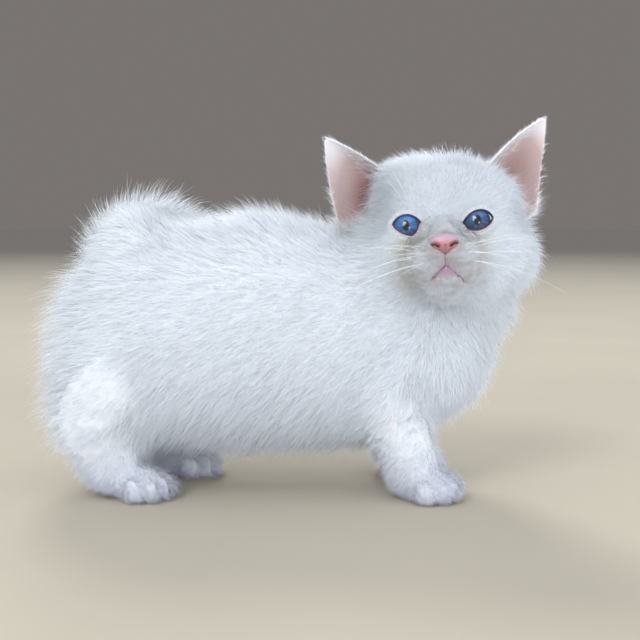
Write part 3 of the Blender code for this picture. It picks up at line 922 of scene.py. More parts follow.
def blade_mesh(name, paths, faces, shading, breadth, root_map, tone):
    """Flat blades: at each row of its path a hair's edges stand half its breadth to each side, and its tip
    is one point. A face direction for each hair turns the blade about its path, and a shading direction
    lights it as part of the whole coat."""
    count, rows = paths.shape[:2]
    tangent = unit(np.gradient(paths, axis=1))
    side = unit(np.cross(tangent, faces[:, None]))
    shape = np.array(BLADE[rows])[None, :, None]
    half = side[:, :-1] * (shape * breadth[:, None, None] / 2)
    body = np.stack([paths[:, :-1] - half, paths[:, :-1] + half], 2).reshape(count, -1, 3)
    points = np.concatenate([body, paths[:, -1:]], 1)
    points[..., 2] = np.maximum(points[..., 2], HAIR_CLEARANCE)
    along = np.append(np.repeat(np.arange(rows - 1), 2), rows - 1) / (rows - 1)
    edge = np.append(np.tile([-0.5, 0.5], rows - 1), 0.0)
    patch = np.stack([edge, along - 0.5], -1) * PATCH
    uv = (root_map[:, None] + patch).reshape(-1, 2)
    corners, starts = blade_corners(rows, count)
    values = {
        "along": np.tile(along, count),
        "tone": np.repeat(tone, len(along)),
    }
    mesh = set_mesh(name, points.reshape(-1, 3) * MM, corners, starts, maps={"OFBake": uv}, values=values)
    lighting = mesh.attributes.new("custom_normal", "FLOAT_VECTOR", "POINT")
    lighting.data.foreach_set("vector", np.repeat(shading, len(along), axis=0).astype(np.float32).ravel())
    return mesh


def skin_map(kind, p):
    """An unwrap of the skin's own shape: the angle about a part's axis, and the place along it."""
    if kind == "head":
        local = to_head(p)
        angle, along = np.arctan2(local[:, 0], local[:, 2] + 1), (local[:, 1] + 42) / 80
    elif kind == "legs":
        fore, left = p[:, 0] > 0, p[:, 1] > 0
        axis = np.where(fore, 46, -66)
        angle = np.arctan2(p[:, 1] - np.where(left, 23, -24), p[:, 0] - axis)
        along = (np.clip(p[:, 2], 0, 90) / 90 + np.where(left, 1, 0)) / 2
    elif kind == "tail":
        _, _, along = path_distance(p, PATHS["tail"])
        rows = PATHS["tail"][:, :3]
        middle = np.stack([np.interp(along, np.linspace(0, 1, len(rows)), rows[:, k]) for k in range(3)], -1)
        angle = np.arctan2(p[:, 2] - middle[:, 2], p[:, 1] - middle[:, 1])
    elif kind == "ears":
        local = to_head(p)
        left = local[:, 0] > 3
        angle = np.arctan2(local[:, 1] + 6, local[:, 0] - np.where(left, 38, -31))
        along = (np.clip((local[:, 2] - 5) / 45, 0, 1) + np.where(left, 1, 0)) / 2
    else:
        angle, along = np.arctan2(p[:, 2] - 60, p[:, 1]), (p[:, 0] + 105) / 210
    spots = np.stack([angle / (2 * math.pi) + 0.5, np.clip(along, 0, 1)], -1)
    return MAP_MARGIN + (1 - 2 * MAP_MARGIN) * spots


def bare_share(p, facing):
    """Where no hair roots: 0 on eyes, nose, lips and soles, 1 on the coat."""
    local = to_head(p)
    grows = np.ones(len(p))
    for side in EYES:
        gap, away = eye_gap(local, side)
        grows *= np.where(away < EYE_RADIUS + 0.7, smoothstep(gap, -2.5, -1.5), 1)
    nose = np.linalg.norm((local[:, [0, 2]] - (0.5, -13.9)) / (5.3, 3.8), axis=1)
    grows *= np.where(local[:, 1] < -32, smoothstep(nose, 0.85, 1.0), 1)
    lip, chin = smoothstep(lip_reach(local), 0.8, 1.05), 0.7 * smoothstep(-local[:, 2], 24.8, 26.2)
    lips = smoothstep(mouth_distance(local), 0.45, 0.9) * np.maximum(lip, chin)
    grows *= np.where(local[:, 1] < -26, lips, 1)
    for side in EARS:
        grows *= 1 - 0.97 * ear_pit(local, facing, side)
    grows *= smoothstep(p[:, 2], 0.5, 1.4)
    return grows


def outside_eyes(place):
    """Which roots are clear of the lids' edges."""
    local = to_head(place)
    clear = np.ones(len(place), bool)
    for side in EYES:
        gap, away = eye_gap(local, side)
        clear &= (away > EYE_RADIUS + 1.1) | (gap > 0.55)
    return clear


# Hairs in each tuft
HAIRS_EACH = 7
# Strays: their share, the least length of coat that has them, and their added lift in radians, length and
# breadth. Then the length of guard hairs, and the spread of the short ones below the undercoat's length.
STRAY_SHARE, STRAY_COAT = 0.11, 2.5
STRAY_LIFT, STRAY_LENGTH, STRAY_BREADTH = (0.1, 0.45), (0.9, 1.4), 0.6
GUARD_LENGTH, GUARD_BREADTH = (0.8, 1.15), 0.7
UNDERCOAT, UNDERCOAT_SPREAD = 0.75, 0.3
# How deep a root is sunk, at the most and as a share of its length
ROOT_DEPTH, ROOT_SHARE = 0.25, 0.06
# How far a hair is shaded as the softened skin under it, and the noise in that
SOFT_SHARE, SHADING_NOISE = 0.84, 0.07
DROOP = (0, 0, -0.08)
# Spread of tone from tuft to tuft, among the fine hairs of face and ears and elsewhere, and from hair to hair
FINE_TONES, COARSE_TONES, HAIR_TONES = 0.2, 0.06, 0.1


def grow(name, kind, weight, count, rows, seed, settings):
    """Tufts of hairs: each hair leaves its root at the coat's lift, bends over, and is drawn towards its
    tuft's middle by the share pull x s^1.5 of its offset at a share s of its length."""
    rng = np.random.default_rng(seed)
    each = HAIRS_EACH
    tufts = count // each
    roots = scatter(weight, tufts, rng)
    keep = outside_eyes(roots[0])
    place, normal, soft, hollow = (v[keep] for v in roots)
    tufts = len(place)
    share, along = shares(place)
    length, lift, breadth, spread = coat_measures(place, share).T
    flow = coat_flow(place, share, along)
    local = to_head(place)
    if kind == "ears":
        flow, length, lift, breadth, spread = ear_coat(local, hollow)
    for side in EYES:
        gap, away = eye_gap(local, side)
        near = np.where(away < 14, 1 - smoothstep(gap, 0.5, 3.2), 0)[:, None]
        apart = unit(local - EYES[side]["centre"]) @ HEAD_TURN.T
        flow = unit(flow) * (1 - 0.8 * near) + apart * 1.2 * near
        clear = np.maximum(gap, 0.6 * (away - EYE_RADIUS - 0.6)).clip(0)
        length = np.where(away < 14, np.minimum(length, 0.7 + 0.7 * clear), length)
    flow = unit(flow - normal * (flow * normal).sum(-1, keepdims=True))
    other = np.cross(normal, flow)
    swing = np.radians(settings.unevenness * (6 * ripple(place, 30, 11) + 3.5 * ripple(place, 11, 12)))
    swing += np.radians(rng.normal(0, 6, tufts))
    lift = np.radians(lift * (1 + 0.08 * ripple(place, 20, 13)) + rng.normal(0, 2.5, tufts))
    length = length * settings.length * (1 + 0.1 * ripple(place, 16, 14)) * rng.uniform(0.82, 1.12, tufts)

    def spread_out(values):
        return np.repeat(values, each, axis=0)

    place, normal, soft, flow, other = (spread_out(v) for v in (place, normal, soft, flow, other))
    hairs = len(place)
    swing = spread_out(swing) + np.radians(rng.normal(0, 11, hairs))
    lift = np.clip(spread_out(lift) + np.radians(rng.normal(0, 7, hairs)), 0.08, 1.4)
    length = spread_out(length)
    long = smoothstep(length, 10, 16)
    guard = rng.random(hairs) < settings.guard * (1 - 0.45 * long)
    under = UNDERCOAT - 0.2 * long
    short = rng.uniform(under - UNDERCOAT_SPREAD, under, hairs)
    stray = (rng.random(hairs) < STRAY_SHARE) & (length > STRAY_COAT)
    lift = np.where(stray, np.minimum(lift + rng.uniform(*STRAY_LIFT, hairs), 1.35), lift)
    stray_length, guard_length = rng.uniform(*STRAY_LENGTH, hairs), rng.uniform(*GUARD_LENGTH, hairs)
    length = length * np.where(stray, stray_length, np.where(guard, guard_length, short))
    around, radial = rng.uniform(0, 2 * math.pi, hairs), np.sqrt(rng.random(hairs))
    offset = flow * np.cos(around)[:, None] + other * np.sin(around)[:, None]
    offset = offset * (radial * spread_out(spread))[:, None]
    way = flow * np.cos(swing)[:, None] + other * np.sin(swing)[:, None]
    s = np.linspace(0, 1, rows)[None, :, None]
    out = normal[:, None] * (np.sin(lift)[:, None, None] * (s - 0.2 * s**2))
    run = way[:, None] * (np.cos(lift)[:, None, None] * s + 0.12 * s**2)
    sway = np.cross(normal, way)[:, None] * (rng.normal(0, 0.05, (hairs, 1, 1)) * np.sin(math.pi * s))
    droop = np.array(DROOP) * s**2
    sunk = normal * np.minimum(ROOT_DEPTH, ROOT_SHARE * length)[:, None]
    paths = (place - sunk)[:, None] + offset[:, None] * (1 - settings.pull * s**1.5)
    paths = paths + (out + run + sway + droop) * length[:, None, None]
    spin = rng.normal(0, 0.6, hairs).clip(-1.2, 1.2)[:, None]
    faces = normal * np.cos(spin) + np.cross(way, normal) * np.sin(spin)
    breadth = spread_out(breadth) * settings.breadth * rng.uniform(0.7, 1.25, hairs)
    breadth *= np.where(stray, STRAY_BREADTH, np.where(guard, GUARD_BREADTH, 1.0))
    vary = FINE_TONES if rows == ROWS_SHORT and kind != "trunk" else COARSE_TONES
    tone = np.clip(spread_out(rng.normal(0.6, vary, tufts)) + rng.normal(0, HAIR_TONES, hairs), 0, 1)
    shading = soft * SOFT_SHARE + faces * (1 - SOFT_SHARE) + other * rng.normal(0, SHADING_NOISE, (hairs, 1))
    root_map = spread_out(skin_map(kind, place[::each]))
    mesh = blade_mesh(name, paths, faces, unit(shading), breadth, root_map, tone)
    obj = link(name, mesh)
    mesh.materials.append(coat_material())
    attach(obj, "root")
    return obj


# Hairs in the ears' hollows: length at the root and more below it, lift, breadth
HOLLOW_COAT = (2.0, 6.5, 20, 0.075)
EAR_HEIGHT = 37.0


def ear_coat(local, hollow):
    """On the back short hairs lie towards the tip; in the hollow longer ones sweep up from the inner edge."""
    left = local[:, 0] > 3
    frames = {side: ear_frame(side) for side in EARS}
    axis = np.where(left[:, None], frames["left"][2], frames["right"][2])
    opens = np.where(left[:, None], frames["left"][4], frames["right"][4])
    outer = np.where(left[:, None], (1.0, 0, 0), (-1.0, 0, 0))
    root = np.where(left[:, None], frames["left"][0], frames["right"][0])
    height = ((local - root) * axis).sum(-1) / EAR_HEIGHT
    inside = (hollow > 0)[:, None]
    flow = np.where(inside, axis * 0.9 + outer * 0.5 + opens * 0.2, axis)
    length, lift, breadth, spread = (np.full(len(local), v, float) for v in EAR_COAT)
    foot = 1 - smoothstep(height, 0.0, 0.4)
    tuft = hollow > 0
    short, more, raised, fine = HOLLOW_COAT
    length = np.where(tuft, more * (1 - np.clip(height, 0, 1)) + short, length + 4.5 * foot)
    lift = np.where(tuft, raised, lift + 12 * foot)
    breadth = np.where(tuft, fine, breadth)
    return flow @ HEAD_TURN.T, length, lift, breadth, spread


# Where the coat is parted: the chest's and rump's places along the trunk, and the face's reach from the nose
CHEST_FROM, RUMP_TO, FACE_REACH = 14, -44, 31


def coat_weights():
    """Each piece's share of roots at each point of the skin: more where hairs are small."""
    skin = Skin.made
    p = skin["points"]
    share, _ = shares(p)
    measures = coat_measures(p, share)
    facing = (skin["normals"] @ HEAD_TURN)[:, 1]
    even = bare_share(p, facing) / (measures[:, 0] * measures[:, 2])
    body = np.arange(len(p)) < skin["body"]
    names = np.array(PARTS)[np.argmax([share[name] for name in PARTS], 0)]
    reach = np.linalg.norm(to_head(p) - NOSE_TIP, axis=1)
    side = to_head(p)[:, 0] < 1
    near, trunk = p[:, 1] < 0, names == "trunk"
    chest, rump = trunk & (p[:, 0] > CHEST_FROM), trunk & (p[:, 0] <= RUMP_TO)
    flank = trunk & ~chest & ~rump
    head = (names == "head") & body
    face = head & (reach < FACE_REACH)
    masks = {
        "coat_face": face,
        "coat_head_right": head & ~face & side,
        "coat_head_left": head & ~face & ~side,
        "coat_chest_right": chest & near,
        "coat_chest_left": chest & ~near,
        "coat_side_right": flank & near,
        "coat_side_left": flank & ~near,
        "coat_rump_right": rump & near,
        "coat_rump_left": rump & ~near,
        "coat_tail": names == "tail",
        "coat_forelegs": np.isin(names, ("foreleg_right", "foreleg_left")),
        "coat_hindlegs": np.isin(names, ("hindleg_right", "hindleg_left")),
    }
    even = even * (1 + 0.9 * smoothstep(-p[:, 2], -22, -8))
    weights = {name: mask * body * even for name, mask in masks.items()}
    weights["coat_ears"] = ear_roots(p, body, skin["hollow"])
    return weights


def ear_roots(p, body, hollow):
    """Roots on the ears: dense on the back and rims, thin in the hollow except by its inner edge."""
    local = to_head(p)
    weight = np.zeros(len(p))
    for side in EARS:
        root, tip, axis, across, _ = ear_frame(side)
        rel = local - root
        t = np.clip(rel @ axis / np.linalg.norm(tip - root), 0, 1)
        half, _ = ear_section(t)
        wide = (rel @ across) / np.maximum(half, 0.5)
        medial = wide if side == "right" else -wide
        mine = (~body) & (local[:, 0] > 3 if side == "left" else local[:, 0] <= 3)
        fringe = smoothstep(medial, 0.25, 0.8) + 0.8 * (1 - smoothstep(t, 0.02, 0.2))
        inside = 0.9 * fringe + 0.5 * smoothstep(np.abs(wide), 0.88, 1.0)
        weight += mine * np.where(hollow > 0, inside, 1.2)
    return weight


FIRST_SEED = 100
# Piece of the coat: how it is unwrapped, hairs, rows of points in each
COAT_PIECES = {
    "coat_face": ("head", 60000, ROWS_SHORT),
    "coat_head_right": ("head", 24000, ROWS_LONG),
    "coat_head_left": ("head", 24000, ROWS_LONG),
    "coat_chest_right": ("trunk", 27000, ROWS_LONG),
    "coat_chest_left": ("trunk", 27000, ROWS_SHORT),
    "coat_side_right": ("trunk", 28000, ROWS_LONG),
    "coat_side_left": ("trunk", 31000, ROWS_SHORT),
    "coat_rump_right": ("trunk", 22000, ROWS_LONG),
    "coat_rump_left": ("trunk", 24000, ROWS_SHORT),
    "coat_tail": ("tail", 15000, ROWS_LONG),
    "coat_forelegs": ("legs", 28000, ROWS_LONG),
    "coat_hindlegs": ("legs", 28000, ROWS_LONG),
    "coat_ears": ("ears", 26000, ROWS_SHORT),
}


def add_node(tree, kind, inputs=None, **settings):
    """Adds a shader node. Each input is a value, or another node's output to link."""
    made = tree.nodes.new("ShaderNode" + kind)
    for key, value in settings.items():
        setattr(made, key, value)
    for key, value in (inputs or {}).items():
        socket = made.inputs[key]
        if isinstance(value, bpy.types.NodeSocket):
            tree.links.new(value, socket)
        else:
            socket.default_value = value
    return made


def mix_colour(tree, factor, a, b, blend="MIX"):
    made = add_node(tree, "Mix", {0: factor, 6: a, 7: b}, data_type="RGBA", blend_type=blend)
    return made.outputs[2]


def ramp(tree, factor, stops, easing="LINEAR"):
    """A colour ramp through stops of place and colour."""
    made = add_node(tree, "ValToRGB", {0: factor})
    band = made.color_ramp
    band.interpolation = easing
    while len(band.elements) < len(stops):
        band.elements.new(0.5)
    for element, (spot, colour) in zip(band.elements, stops):
        element.position = spot
        element.color = (*colour, 1.0)
    return made.outputs["Color"]


def calculate(tree, operation, a, b=0.0):
    return add_node(tree, "Math", {0: a, 1: b}, operation=operation).outputs[0]


def map_range(tree, value, low, high, to_low=0.0, to_high=1.0):
    inputs = {"Value": value, "From Min": low, "From Max": high, "To Min": to_low, "To Max": to_high}
    return add_node(tree, "MapRange", inputs, interpolation_type="SMOOTHSTEP").outputs[0]


def new_material(name):
    """A material with a Principled shader; returns the material, its tree and the shader."""
    made = bpy.data.materials.new(name)
    made.use_nodes = True
    return made, made.node_tree, made.node_tree.nodes["Principled BSDF"]


def set_shader(shader, **sockets):
    for key, value in sockets.items():
        shader.inputs[key.replace("_", " ")].default_value = value


# Painted shade: a bluish tint that grows from this height down to the floor
PAW_PAINTED_SHADE = (22, (0.86, 0.85, 0.90))
# Streaks about a point of the head's frame: centre and radius, and their tint
MUZZLE_STREAKS = (((0, -30, -20), 24), (0.86, 0.83, 0.79))
# Tints on the white: centre in the head's frame, radius, colour, strength. The first two are painted shade,
# over the whole head and on the muzzle under the nose; the others are cream and pink tints of the coat.
TINTS_AND_SHADE = (
    # Painted shade over the whole head
    ((0, -22, 0), 66, (0.785, 0.80, 0.81), 0.8),
    # Painted shade on the muzzle under the nose
    ((0, -35, -21), 23, (0.70, 0.67, 0.67), 0.85),
    ((-13, -27, -13), 11, (0.94, 0.90, 0.76), 0.75),
    ((15, -26, -13), 11, (0.94, 0.91, 0.80), 0.65),
    ((-14, -24, -25), 11, (0.90, 0.83, 0.74), 0.7),
    ((12, -26, -25), 9, (0.92, 0.87, 0.80), 0.6),
    ((0.5, -37, -10), 8.0, (0.76, 0.62, 0.69), 0.85),
    ((0.5, -37, -21), 7, (0.84, 0.66, 0.69), 0.6),
    ((-36, 8, 10), 26, (0.97, 0.94, 0.89), 0.6),
)


def distance_from(tree, place, centre):
    """How far a shaded place is from a point of the head's frame, in metres."""
    spot = from_head(np.array([centre], float))[0] * MM
    return add_node(tree, "VectorMath", {0: place, 1: tuple(spot)}, operation="DISTANCE").outputs["Value"]


def markings_and_shade_group():
    """The kitten's colouring, for skin and coat alike: white, with soft tints about points of the face and
    cream streaks on the muzzle, and painted shade over the head, on the muzzle and on the paws.
    """
    found = bpy.data.node_groups.get("kitten_markings_and_shade")
    if found:
        return found
    group = bpy.data.node_groups.new("kitten_markings_and_shade", "ShaderNodeTree")
    group.interface.new_socket("White", in_out="INPUT", socket_type="NodeSocketColor")
    group.interface.new_socket("Colour", in_out="OUTPUT", socket_type="NodeSocketColor")
    entry, leave = group.nodes.new("NodeGroupInput"), group.nodes.new("NodeGroupOutput")
    place = add_node(group, "TexCoord").outputs["Object"]
    colour = entry.outputs["White"]
    # Tints, and the painted shade of head and muzzle, each multiplied in within its radius
    for centre, radius, tint, strength in TINTS_AND_SHADE:
        share = map_range(group, distance_from(group, place, centre), radius * MM, 0.0, 0.0, strength)
        colour = mix_colour(group, share, colour, (*tint, 1.0), "MULTIPLY")
    (centre, radius), tint = MUZZLE_STREAKS
    drawn = add_node(group, "VectorMath", {0: place, 1: (0.35, 0.6, 1.0)}, operation="MULTIPLY").outputs[0]
    streaks = add_node(group, "TexNoise", {"Vector": drawn, "Scale": 520.0, "Detail": 3.0}).outputs[0]
    near = map_range(group, distance_from(group, place, centre), radius * MM, radius * 0.4 * MM)
    share = calculate(group, "MULTIPLY", near, map_range(group, streaks, 0.42, 0.62))
    colour = mix_colour(group, share, colour, (*tint, 1.0), "MULTIPLY")
    # Painted shade on the paws: darker and bluer towards the floor
    height = add_node(group, "SeparateXYZ", {0: place}).outputs["Z"]
    low = map_range(group, height, PAW_PAINTED_SHADE[0] * MM, 0.0)
    colour = mix_colour(group, low, colour, (*PAW_PAINTED_SHADE[1], 1.0), "MULTIPLY")
    group.links.new(colour, leave.inputs["Colour"])
    return group


# The colouring, painted shade included, on a given white
def markings_and_shade(tree, white):
    made = tree.nodes.new("ShaderNodeGroup")
    made.node_tree = markings_and_shade_group()
    made.inputs["White"].default_value = white
    return made.outputs["Colour"]


def coat_material():
    """White hairs that let some light through, a little different in tone from tuft to tuft, and a little
    darker at their roots as painted shade.
    """
    found = bpy.data.materials.get("kitten_coat")
    if found:
        return found
    made, tree, shader = new_material("kitten_coat")
    settings = bpy.context.scene.kitten_coat
    tone = add_node(tree, "Attribute", attribute_name="tone").outputs["Fac"]
    along = add_node(tree, "Attribute", attribute_name="along").outputs["Fac"]
    colour = markings_and_shade(tree, (*settings.colour, 1.0))
    by_tuft = ramp(tree, tone, ((0, (0.80, 0.81, 0.83)), (1, (1, 1, 1))))
    # Painted shade: each hair a little darker towards its root
    painted_root_shade = ramp(tree, along, ((0, (0.97, 0.965, 0.97)), (0.5, (1, 1, 1))))
    for shade in (by_tuft, painted_root_shade):
        colour = mix_colour(tree, 1.0, colour, shade, "MULTIPLY")
    tree.links.new(colour, shader.inputs["Base Color"])
    set_shader(shader, Roughness=0.5, Specular_IOR_Level=0.35)
    through = add_node(tree, "BsdfTranslucent", {"Color": colour})
    both = add_node(tree, "MixShader", {0: 0.42, 1: shader.outputs[0], 2: through.outputs[0]})
    output = tree.nodes["Material Output"]
    tree.links.new(both.outputs[0], output.inputs["Surface"])
    return made


# White of the skin, darkened as painted shade for the shade between the hairs over it
SKIN_WHITE_AND_SHADE = (0.62, 0.63, 0.65, 1.0)
# Bare skin from pale to deep pink
FLESH = (
    (0.0, (0.46, 0.38, 0.37)),
    (0.35, (0.34, 0.235, 0.23)),
    (0.7, (0.23, 0.105, 0.10)),
    (1.0, (0.18, 0.06, 0.06)),
)


def skin_material():
    """Soft white skin, darkened as painted shade under the coat, with its coat's markings and painted shade,
    pink where it is bare, and finely grained.
    """
    made, tree, shader = new_material("kitten_skin")
    pink = add_node(tree, "Attribute", attribute_name="pink").outputs["Fac"]
    place = add_node(tree, "TexCoord").outputs["Object"]
    grain = add_node(tree, "TexNoise", {"Vector": place, "Scale": 900.0, "Detail": 3.0}).outputs[0]
    uneven = calculate(tree, "MULTIPLY_ADD", grain, 0.12)
    uneven.node.inputs[2].default_value = -0.06
    amount = calculate(tree, "ADD", pink, uneven)
    flesh = ramp(tree, amount, FLESH)
    colour = mix_colour(tree, map_range(tree, pink, 0.02, 0.2), markings_and_shade(tree, SKIN_WHITE_AND_SHADE), flesh)
    tree.links.new(colour, shader.inputs["Base Color"])
    bump = add_node(tree, "Bump", {"Height": grain, "Strength": 0.35, "Distance": 0.0003})
    tree.links.new(bump.outputs[0], shader.inputs["Normal"])
    set_shader(shader, Roughness=0.6, Specular_IOR_Level=0.3, Subsurface_Weight=0.25, Subsurface_Scale=0.002)
    return made


# Multiples of the iris' own colour: by the distance from its middle over IRIS_REACH, and from top to bottom,
# darker at the top as the lid's painted shadow and lighter towards the bottom
IRIS_REACH = 8.0
IRIS_RIM = (
    (0.0, (1.05, 1.05, 1.05)),
    (0.35, (1, 1, 1)),
    (0.52, (0.62, 0.66, 0.76)),
    (0.64, (0.10, 0.12, 0.2)),
    (0.7, (0.05, 0.06, 0.10)),
)
IRIS_LID_SHADOW = ((0.0, (0.45, 0.47, 0.55)), (0.55, (1.1, 1.1, 1.15)), (1.0, (2.1, 1.95, 1.75)))
EYE_WHITE, PUPIL = (0.62, 0.62, 0.66, 1.0), (0.003, 0.004, 0.007, 1.0)
# The eye's map is this many millimetres across
EYE_MAP = 16.0


def eye_material(name, shade):
    """Blue iris: a dark upright pupil, streaks from it to a dark outer ring, then the white of the eye. The
    iris is darker at the top as the lid's painted shadow, and lighter towards the bottom.
    """
    made, tree, shader = new_material(name)
    uv = add_node(tree, "UVMap", uv_map="iris_map").outputs[0]
    centred = add_node(tree, "VectorMath", {0: uv, 1: (0.5, 0.5, 0.0)}, operation="SUBTRACT").outputs[0]
    scale = (EYE_MAP, EYE_MAP, 0.0)
    spot = add_node(tree, "VectorMath", {0: centred, 1: scale}, operation="MULTIPLY").outputs[0]
    away = add_node(tree, "VectorMath", {0: spot}, operation="LENGTH").outputs["Value"]
    narrow = add_node(tree, "VectorMath", {0: spot, 1: (1.0, 0.6, 0.0)}, operation="MULTIPLY").outputs[0]
    pupil = add_node(tree, "VectorMath", {0: narrow}, operation="LENGTH").outputs["Value"]
    direction = add_node(tree, "VectorMath", {0: spot}, operation="NORMALIZE").outputs[0]
    rays = add_node(tree, "TexNoise", {"Vector": direction, "Scale": 9.0, "Detail": 4.0, "Roughness": 0.7})
    fine = add_node(tree, "TexNoise", {"Vector": spot, "Scale": 1.6, "Detail": 3.0}).outputs[0]
    rays = calculate(tree, "MULTIPLY", rays.outputs[0], 0.75)
    streak = calculate(tree, "ADD", rays, calculate(tree, "MULTIPLY", fine, 0.25))
    light = tuple(min(1.0, c * 2.6 + 0.03) for c in shade)
    dark = tuple(c * 0.35 for c in shade)
    iris = ramp(tree, streak, ((0.36, dark), (0.5, shade), (0.66, light)))
    rim = ramp(tree, calculate(tree, "DIVIDE", away, IRIS_REACH), IRIS_RIM)
    level = add_node(tree, "SeparateXYZ", {0: spot}).outputs["Y"]
    # Painted shadow of the upper lid: the iris darker at its top, lighter towards its bottom
    lid_shadow = ramp(tree, map_range(tree, level, 4.0, -4.0), IRIS_LID_SHADOW)
    colour = mix_colour(tree, 1.0, mix_colour(tree, 1.0, iris, rim, "MULTIPLY"), lid_shadow, "MULTIPLY")
    colour = mix_colour(tree, map_range(tree, away, 5.7, 6.1), colour, EYE_WHITE)
    colour = mix_colour(tree, map_range(tree, pupil, 1.35, 1.1), colour, PUPIL)
    tree.links.new(colour, shader.inputs["Base Color"])
    set_shader(shader, Roughness=0.3, Coat_Weight=1.0, Coat_Roughness=0.02, Specular_IOR_Level=0.5)
    return made


LID_EDGE = (0.012, 0.014, 0.035, 1.0)
LID_SKIN = ((0.0, (0.34, 0.20, 0.26)), (0.1, (0.50, 0.40, 0.45)), (0.24, (0.52, 0.50, 0.53)))


def lid_material():
    """A dark wet line at the lid's edge, then pink skin that pales into the white of the coat."""
    made, tree, shader = new_material("kitten_lids")
    line = add_node(tree, "Attribute", attribute_name="line").outputs["Fac"]
    away = add_node(tree, "Attribute", attribute_name="away").outputs["Fac"]
    colour = mix_colour(tree, line, ramp(tree, away, LID_SKIN), LID_EDGE)
    tree.links.new(colour, shader.inputs["Base Color"])
    place = add_node(tree, "TexCoord").outputs["Object"]
    grain = add_node(tree, "TexNoise", {"Vector": place, "Scale": 1800.0, "Detail": 2.0}).outputs[0]
    bump = add_node(tree, "Bump", {"Height": grain, "Strength": 0.3, "Distance": 0.0002})
    tree.links.new(bump.outputs[0], shader.inputs["Normal"])
    set_shader(shader, Roughness=0.38, Specular_IOR_Level=0.5, Subsurface_Weight=0.1, Subsurface_Scale=0.001)
    return made


NOSE_LIGHT, LIP_LIGHT = (0.38, 0.29, 0.35), (0.38, 0.33, 0.36)
# Deepest red of the leather, which also serves as painted shade in the nostrils, the groove and the mouth's
# crease
NOSE_DEEP_AND_SHADE = (0.10, 0.012, 0.016, 1.0)


def nose_material(name, colour, light):
    """Moist pebbled leather, paler where marked pale, and darker where marked deep: painted shade in its
    nostrils, groove and the mouth's crease, and a redder tone low on the nose.
    """
    made, tree, shader = new_material(name)
    deep = add_node(tree, "Attribute", attribute_name="deep").outputs["Fac"]
    pale = add_node(tree, "Attribute", attribute_name="pale").outputs["Fac"]
    place = add_node(tree, "TexCoord").outputs["Object"]
    cells = add_node(tree, "TexVoronoi", {"Vector": place, "Scale": 2600.0}).outputs["Distance"]
    base = mix_colour(tree, pale, (*colour, 1.0), (*light, 1.0))
    base = mix_colour(tree, deep, base, NOSE_DEEP_AND_SHADE)
    tree.links.new(base, shader.inputs["Base Color"])
    bump = add_node(tree, "Bump", {"Height": cells, "Strength": 0.3, "Distance": 0.0002})
    tree.links.new(bump.outputs[0], shader.inputs["Normal"])
    set_shader(shader, Roughness=0.42, Coat_Weight=0.15, Coat_Roughness=0.3)
    set_shader(shader, Subsurface_Weight=0.2, Subsurface_Scale=0.0012)
    return made


def whisker_material():
    """Pale horn, faintly banded along its length."""
    made, tree, shader = new_material("kitten_whiskers")
    place = add_node(tree, "TexCoord").outputs["Object"]
    bands = add_node(tree, "TexNoise", {"Vector": place, "Scale": 500.0, "Detail": 2.0}).outputs[0]
    horn = ramp(tree, bands, ((0.3, (0.80, 0.78, 0.74)), (0.7, (0.95, 0.95, 0.94))))
    tree.links.new(horn, shader.inputs["Base Color"])
    set_shader(shader, Roughness=0.3, Specular_IOR_Level=0.5)
    return made


CORNEA_RISE, CORNEA_ANGLE = 0.5, 0.85


def eyeball(side):
    """A ball of radius R, plus c(1 - (a / w)^2)^2 of cornea within the angle w of its own axis."""
    eye = EYES[side]
    arc = np.array([eye["pupil"]], float)
    ahead = unit(from_arc(side, arc, np.array([1.0])) - eye["centre"])[0]
    right = unit(np.cross(ahead, (0.0, 0.0, 1.0)))
    right = right if right[0] > 0 else -right
    up = np.cross(right, ahead)
    angle = np.concatenate([np.linspace(0, 1.0, 50)[1:], np.linspace(1.0, math.pi, 26)[1:-1]])[:, None]
    way = np.linspace(0, 2 * math.pi, 72, endpoint=False)[None]
    ball = EYE_RADIUS - BALL_CLEARANCE
    radius = ball + CORNEA_RISE * np.maximum(1 - (angle / CORNEA_ANGLE) ** 2, 0) ** 2
    ray = np.cos(angle)[..., None] * ahead + np.sin(angle)[..., None] * (
        np.cos(way)[..., None] * right + np.sin(way)[..., None] * up
    )
    centre = np.array(eye["centre"])
    rings = centre + ray * radius[..., None]
    front, back = centre + ahead * (ball + CORNEA_RISE), centre - ahead * EYE_RADIUS
    points, triangles = closed_rings(rings, front, back)
    spread = angle * EYE_RADIUS / EYE_MAP
    uv = np.stack([0.5 + spread * np.cos(way), 0.5 + spread * np.sin(way)], -1).reshape(-1, 2)
    uv = np.vstack([uv, (0.5, 0.5), (0.5, 2.0)])
    return points, triangles, uv


# Profile of the lids: arc outside the opening's edge, and height above the ball. Its last points, past
# LID_TOP, are under the skin.
LID_PROFILE = (
    (-0.50, -0.35),
    (-0.32, -0.02),
    (-0.15, 0.18),
    (0.0, 0.32),
    (0.15, 0.42),
    (0.3, 0.5),
    (0.42, 0.53),
    (0.55, 0.52),
    (0.7, 0.46),
    (0.85, 0.37),
    (1.0, 0.25),
    (1.15, 0.1),
    (1.3, -0.1),
    (1.45, -0.4),
    (1.6, -1.0),
    (1.6, -1.7),
    (1.2, -2.0),
    (0.2, -1.9),
    (-0.4, -1.3),
)
LID_TOP = 14
# The dark line's breadth: at the least, and more at the upper lid and at the inner corner
LID_LINE = (0.08, 0.5, 0.6)


